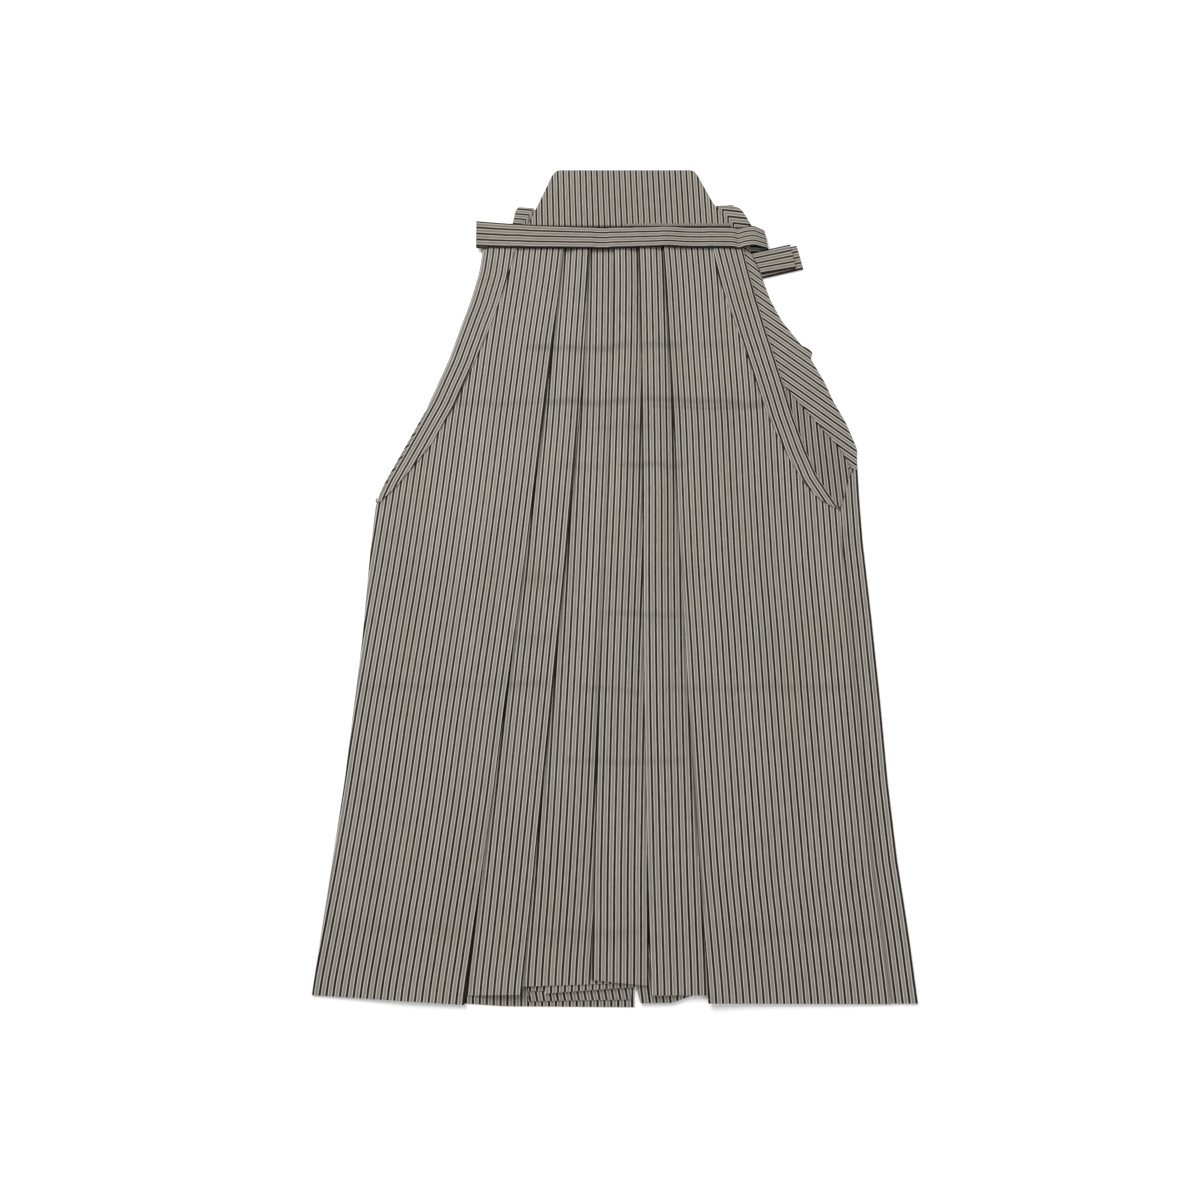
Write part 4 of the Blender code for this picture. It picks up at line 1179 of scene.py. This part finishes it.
def slab(left_line, right_line, rows, columns, thickness, rounding, thread):
    """Flat rounded piece between two lines, on the floor: points, faces and weave."""
    down = 0.5 - 0.5 * np.cos(np.linspace(0.0, math.pi, rows))
    side = 0.5 - 0.5 * np.cos(np.linspace(0.0, math.pi, columns))
    grid = np.array([[np.array(along_line(left_line, r)) * (1.0 - s)
                      + np.array(along_line(right_line, r)) * s for s in side] for r in down])
    wide = np.linalg.norm(grid[:, -1] - grid[:, 0], axis=1)
    tall = np.linalg.norm(grid[-1] - grid[0], axis=1)
    inset = np.minimum(np.minimum(side, 1.0 - side)[None, :] * wide[:, None],
                       np.minimum(down, 1.0 - down)[:, None] * tall[None, :])
    near = np.clip(inset / rounding, 0.0, 1.0)
    drop = rounding * (1.0 - np.sqrt(1.0 - (1.0 - near) ** 2))
    depth = min(rounding, thickness / 2.0) / rounding
    upper = np.dstack([grid, thickness - drop * depth])
    lower = np.dstack([grid, drop * depth])
    points = np.vstack([upper.reshape(-1, 3), lower.reshape(-1, 3)]) * MM
    weave = [(thread(x, y), y / PERIOD) for x, y in grid.reshape(-1, 2)] * 2
    below = rows * columns
    faces = []
    for row in range(rows - 1):
        for column in range(columns - 1):
            corner = row * columns + column
            faces.append((corner, corner + 1, corner + columns + 1, corner + columns))
            faces.append((below + corner, below + corner + columns,
                          below + corner + columns + 1, below + corner + 1))
    rim = list(range(columns))
    rim += [row * columns + columns - 1 for row in range(1, rows)]
    rim += [below - 2 - step for step in range(columns - 1)]
    rim += [row * columns for row in range(rows - 2, 0, -1)]
    for start, end in zip(rim, rim[1:] + rim[:1]):
        faces.append((end, start, below + start, below + end))
    return points, faces, weave


def board_thread(x, y):
    return (x - BOARD_STRIPE.x - BOARD_LEAN * (BOARD_STRIPE.height - y)) / PERIOD


board_cloth = striped_cloth("board_cloth", 0.94, 16.0, 0.15)
board = add_cloth("back_board_cover", *slab(
    BOARD_LEFT, BOARD_RIGHT, 40, 60, BOARD_THICKNESS, BOARD_ROUNDING, board_thread), board_cloth)
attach(board, "root")
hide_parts("back_board")


def left_mitre(x, y):
    """Stripes that run up beside the board and turn level under the tie."""
    out, down = LEFT_MITRE.x - x, LEFT_MITRE.y - y
    return 1.0 + min(out / LEFT_MITRE.beside, (down + LEFT_MITRE.lean * out) / LEFT_MITRE.below)


def right_mitre(x, y):
    """The same at the other corner, where they end on a slope."""
    out, down = x - RIGHT_MITRE.x, RIGHT_MITRE.y - y
    sloped = down * math.cos(RIGHT_MITRE.lean) - out * math.sin(RIGHT_MITRE.lean)
    return 1.0 + min(out / RIGHT_MITRE.beside, sloped / RIGHT_MITRE.below)


left_stub = add_cloth("back_himo_left_cloth", *slab(
    *STUB_LEFT_SIDES, 60, 50, TIE_THICKNESS, TIE_ROUNDING, left_mitre), himo_cloth)
settle(left_stub, "back_himo_left")
right_stub = add_cloth("back_himo_right_cloth", *slab(
    *STUB_RIGHT_SIDES, 60, 70, TIE_THICKNESS, TIE_ROUNDING, right_mitre), himo_cloth)
settle(right_stub, "back_himo_right")


# Folded end of a back himo.
# One back tie is folded up under the garment, and two of its folds stick out at the right.
Reach = namedtuple("Reach", "start end")
Fold = namedtuple("Fold", "upper_corners lower_corners upper lower")
BUNDLE_ANGLE = 13.0
BUNDLE_FOLDS = (
    Fold(Reach(4.4, 60.2), Reach(7.3, 59.3), Reach(30.0, 31.3), Reach(-2.7, -1.6)),
    Fold(Reach(3.0, 52.0), Reach(6.8, 50.0), Reach(32.0, 33.1), Reach(1.9, 0.2)),
)
BUNDLE_ORIGIN = (176.5, 339.5)
bundle_turn = math.radians(BUNDLE_ANGLE)
bundle_along = (math.cos(bundle_turn), math.sin(bundle_turn))


def bundle_path(fold, number):
    lower_z = level_height(2.0 * number)
    upper_z = level_height(2.0 * number + 1.0)
    start = fold.upper_corners.start
    end = fold.upper_corners.end
    line = [(s, upper_z) for s in section_run(start, end - turn_room(), 22)]
    line += fold_turn(end, lower_z, upper_z, 1, False)
    line += [(s, lower_z) for s in section_run(end - turn_room(), start, 22)]
    path = []
    for s, z in line:
        along = (s - start) / (end - start)
        row = []
        for corners, edge in ((fold.lower_corners, fold.lower), (fold.upper_corners, fold.upper)):
            place = corners.start + (corners.end - corners.start) * along
            width = edge.start + (edge.end - edge.start) * along
            row.append((BUNDLE_ORIGIN[0] + place * bundle_along[0] - width * bundle_along[1],
                        BUNDLE_ORIGIN[1] + place * bundle_along[1] + width * bundle_along[0], z))
        path.append(row)
    return path


for number, fold in enumerate(BUNDLE_FOLDS):
    piece = add_cloth(f"back_himo_fold_{number + 1}",
                      *strap(bundle_path(fold, number), HIMO_THICKNESS), himo_cloth)
    settle(piece, f"back_himo_folds_{number + 1}")


# Gathered edge of the backs.
# The backs' upper edge is drawn together a little where it is sewn to the board, so its
# stripes stand close there, between the board and the front tie.
GATHER_FROM = 18.0
GATHER_TO = 147.0
GATHER_TOP = 412.4
GATHER_PERIOD = 3.3
GATHERS = (Stray(0.25, 1.7), Stray(0.15, 4.3))
gather_path = []
for x in section_run(GATHER_FROM, GATHER_TO, 130):
    swell = sum(wave.height * math.sin(x / wave.length) for wave in GATHERS)
    gather_path.append([(x, BACK_TOP, BOARD_THICKNESS + 0.35),
                        (x, GATHER_TOP + 0.3 * swell, BOARD_THICKNESS + 0.45 + 0.4 * swell)])
gather_points, gather_faces, gather_weave = strap(gather_path, HIMO_THICKNESS)
gather_weave = [(along * PERIOD / GATHER_PERIOD + across * 0.10, across)
                for across, along in gather_weave]
gathers = add_cloth("back_edge_gathers", gather_points, gather_faces, gather_weave, back_cloth)
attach(gathers, "root")


# Sewing.
# Rows of small stitches in thread of the cloth's own tones: the front tie's slip-stitched
# lower edge, the catch stitches of the side folds and hems, and the tacks at the openings.
def stitch_tree():
    """Geometry Nodes tree that lays a stitch at every pitch along a line."""
    tree = bpy.data.node_groups.new("stitches", "GeometryNodeTree")
    sockets = tree.interface
    sockets.new_socket("Line", in_out="INPUT", socket_type="NodeSocketGeometry")
    for name in ("Pitch", "Length", "Thickness", "Turn"):
        sockets.new_socket(name, in_out="INPUT", socket_type="NodeSocketFloat")
    sockets.new_socket("Seed", in_out="INPUT", socket_type="NodeSocketInt")
    sockets.new_socket("Thread", in_out="INPUT", socket_type="NodeSocketMaterial")
    sockets.new_socket("Stitches", in_out="OUTPUT", socket_type="NodeSocketGeometry")

    def add(kind, inputs, **settings):
        made = tree.nodes.new(kind)
        for key, value in settings.items():
            setattr(made, key, value)
        for key, value in inputs.items():
            if isinstance(value, bpy.types.NodeSocket):
                tree.links.new(value, made.inputs[key])
            else:
                made.inputs[key].default_value = value
        return made.outputs

    given = tree.nodes.new("NodeGroupInput").outputs
    line = add("GeometryNodeMeshToCurve", {"Mesh": given["Line"]})
    spaced = add("GeometryNodeResampleCurve",
                 {"Curve": line[0], "Length": given["Pitch"]}, mode="LENGTH")
    ball = add("GeometryNodeMeshUVSphere", {"Segments": 6, "Rings": 4, "Radius": 0.5})
    stitch = add("GeometryNodeSetShadeSmooth", {"Geometry": ball[0], "Shade Smooth": True})
    facing = add("FunctionNodeAlignRotationToVector",
                 {"Vector": add("GeometryNodeInputTangent", {})[0]}, axis="X")
    turn = add("ShaderNodeCombineXYZ", {"Z": given["Turn"]})
    turned = add("FunctionNodeRotateRotation",
                 {"Rotation": facing[0], "Rotate By": turn[0]}, rotation_space="LOCAL")
    uneven = add("FunctionNodeRandomValue", {2: 0.8, 3: 1.2, 8: given["Seed"]},
                 data_type="FLOAT")
    length = add("ShaderNodeMath", {0: given["Length"], 1: uneven[1]}, operation="MULTIPLY")
    size = add("ShaderNodeCombineXYZ",
               {"X": length[0], "Y": given["Thickness"], "Z": given["Thickness"]})
    laid = add("GeometryNodeInstanceOnPoints",
               {"Points": spaced[0], "Instance": stitch[0], "Rotation": turned[0],
                "Scale": size[0]})
    whole = add("GeometryNodeRealizeInstances", {"Geometry": laid[0]})
    coloured = add("GeometryNodeSetMaterial",
                   {"Geometry": whole[0], "Material": given["Thread"]})
    tree.links.new(coloured[0], tree.nodes.new("NodeGroupOutput").inputs[0])
    return tree


def sewing_thread(name, colour):
    """Twisted cotton thread."""
    made = bpy.data.materials.new(name)
    made.use_nodes = True
    tree = made.node_tree
    shader = tree.nodes["Principled BSDF"]
    start = Signal(tree, None)
    place = start.node("ShaderNodeTexCoord", {}, "Object")
    split = tree.nodes.new("ShaderNodeSeparateXYZ")
    tree.links.new(place.socket, split.inputs[0])
    x, y = Signal(tree, split.outputs[0]), Signal(tree, split.outputs[1])
    twist = start.math("SINE", (x + y) * 9000.0)
    worn = start.noise(x * 260.0, y * 260.0, 3.0)
    light = 0.9 + twist * 0.12 + (worn - 0.5) * 0.5
    tinted = start.node("ShaderNodeVectorMath", {0: colour, "Scale": light}, operation="SCALE")
    tree.links.new(tinted.socket, shader.inputs["Base Color"])
    tree.links.new((0.62 + worn * 0.2).socket, shader.inputs["Roughness"])
    bump = start.node("ShaderNodeBump", {"Height": twist, "Strength": 0.4, "Distance": 0.00003})
    tree.links.new(bump.socket, shader.inputs["Normal"])
    shader.inputs["Specular IOR Level"].default_value = 0.2
    return made


def sew(name, lines, pitch, length, thickness, thread, turn, seed):
    """Makes stitches along lines of points in millimetres, as one plain mesh."""
    points = [point for line in lines for point in line]
    edges = []
    first = 0
    for line in lines:
        edges += [(first + step, first + step + 1) for step in range(len(line) - 1)]
        first += len(line)
    mesh = bpy.data.meshes.new(name + "_line")
    mesh.from_pydata([tuple(value * MM for value in point) for point in points], edges, [])
    guide = bpy.data.objects.new(name + "_line", mesh)
    bpy.context.scene.collection.objects.link(guide)
    modifier = guide.modifiers.new("stitches", "NODES")
    modifier.node_group = stitches
    values = {"Pitch": pitch * MM, "Length": length * MM, "Thickness": thickness * MM,
              "Turn": turn, "Seed": seed, "Thread": thread}
    for socket in stitches.interface.items_tree:
        if socket.name in values:
            modifier[socket.identifier] = values[socket.name]
    made = guide.evaluated_get(bpy.context.evaluated_depsgraph_get())
    piece = bpy.data.objects.new(name, bpy.data.meshes.new_from_object(made))
    guide.modifiers.remove(modifier)
    bpy.data.objects.remove(guide)
    bpy.context.scene.collection.objects.link(piece)
    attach(piece, "root")
    return piece


def top_face(section, x):
    """Place on the highest layer of a section at x."""
    best = None
    for start, end in zip(section, section[1:]):
        if min(start[0], end[0]) <= x <= max(start[0], end[0]) and start[0] != end[0]:
            share = (x - start[0]) / (end[0] - start[0])
            y = start[1] + (end[1] - start[1]) * share
            z = start[2] + (end[2] - start[2]) * share
            if best is None or z > best[2]:
                best = (x, y, z)
    x, y, z = best
    weight = min(max((z - FIRST_LEVEL) / SETTLED_DEPTH, 0.0), 1.0)
    return (x, y, z + float(drape(np.array(x), np.array(y))) * weight + CLOTH / 2.0)


stitches = stitch_tree()
tie_thread = sewing_thread("tie_thread", (0.20, 0.185, 0.16))
dark_thread = sewing_thread("dark_thread", (0.030, 0.023, 0.018))
TIE_STITCH_SHARE = 0.045      # place of the tie's stitches, as a share of its width
TIE_STITCH_HEIGHT = 0.52      # and their height above its middle
FOLD_STITCH_INSET = 1.8       # distance of the side folds' stitches from the inner edge
FOLD_NARROWEST = 0.4          # they end where this is a larger share of the fold's width
HEM_STITCHES = HEM + 14.0     # height of the hems' stitches

tie_line = []
for lower, upper in tie_path[10:110]:
    x, y, z = [low + (high - low) * TIE_STITCH_SHARE for low, high in zip(lower, upper)]
    tie_line.append((x, y, z + TIE_STITCH_HEIGHT))
tie_stitches = sew("front_himo_stitches", [tie_line], pitch=6.0, length=1.6, thickness=0.28,
                   thread=tie_thread, turn=0.5, seed=3)


def fold_line(rows, inner_first):
    """Line of stitches just inside the inner edge of a side fold."""
    line = []
    for row in rows:
        ordered = row if inner_first else row[::-1]
        start, end = ordered[0], ordered[-1]
        share = FOLD_STITCH_INSET / abs(end[0] - start[0])
        if share <= FOLD_NARROWEST:
            line.append(top_face(row, start[0] + (end[0] - start[0]) * share))
    return line


fold_stitches = sew("side_fold_stitches",
                    [fold_line(left_fold_rows, False), fold_line(right_fold_rows, True)],
                    pitch=11.0, length=1.3, thickness=0.28, thread=tie_thread, turn=1.2, seed=5)

hem_lines = []
for sections, spans in ((left_sections, ((-294.0, -156.0), (-144.0, -96.0), (-88.0, 28.0))),
                        (right_sections, ((44.0, 92.0), (102.0, 276.0)))):
    section = min(sections, key=lambda row: abs(row[len(row) // 2][1] - HEM_STITCHES))
    for start, end in spans:
        hem_lines.append([top_face(section, x) for x in section_run(start, end, 40)])
hem_stitches = sew("hem_stitches", hem_lines, pitch=14.0, length=1.0, thickness=0.25,
                   thread=tie_thread, turn=1.57, seed=7)


def tack(x, top, bottom, z):
    return [(x, y, z) for y in section_run(bottom, top, 8)]


wrap_top = level_height(1.0) + CLOTH / 2.0
tacks = sew("opening_tacks",
            [tack(277.6, 89.5, 84.5, wrap_top + 0.15),
             tack(260.6, 43.0, 38.5, wrap_top + 0.35),
             tack(-269.4, 52.0, 47.5, level_height(2.0) + CLOTH / 2.0)],
            pitch=0.45, length=2.2, thickness=0.42, thread=dark_thread, turn=math.pi / 2.0,
            seed=9)
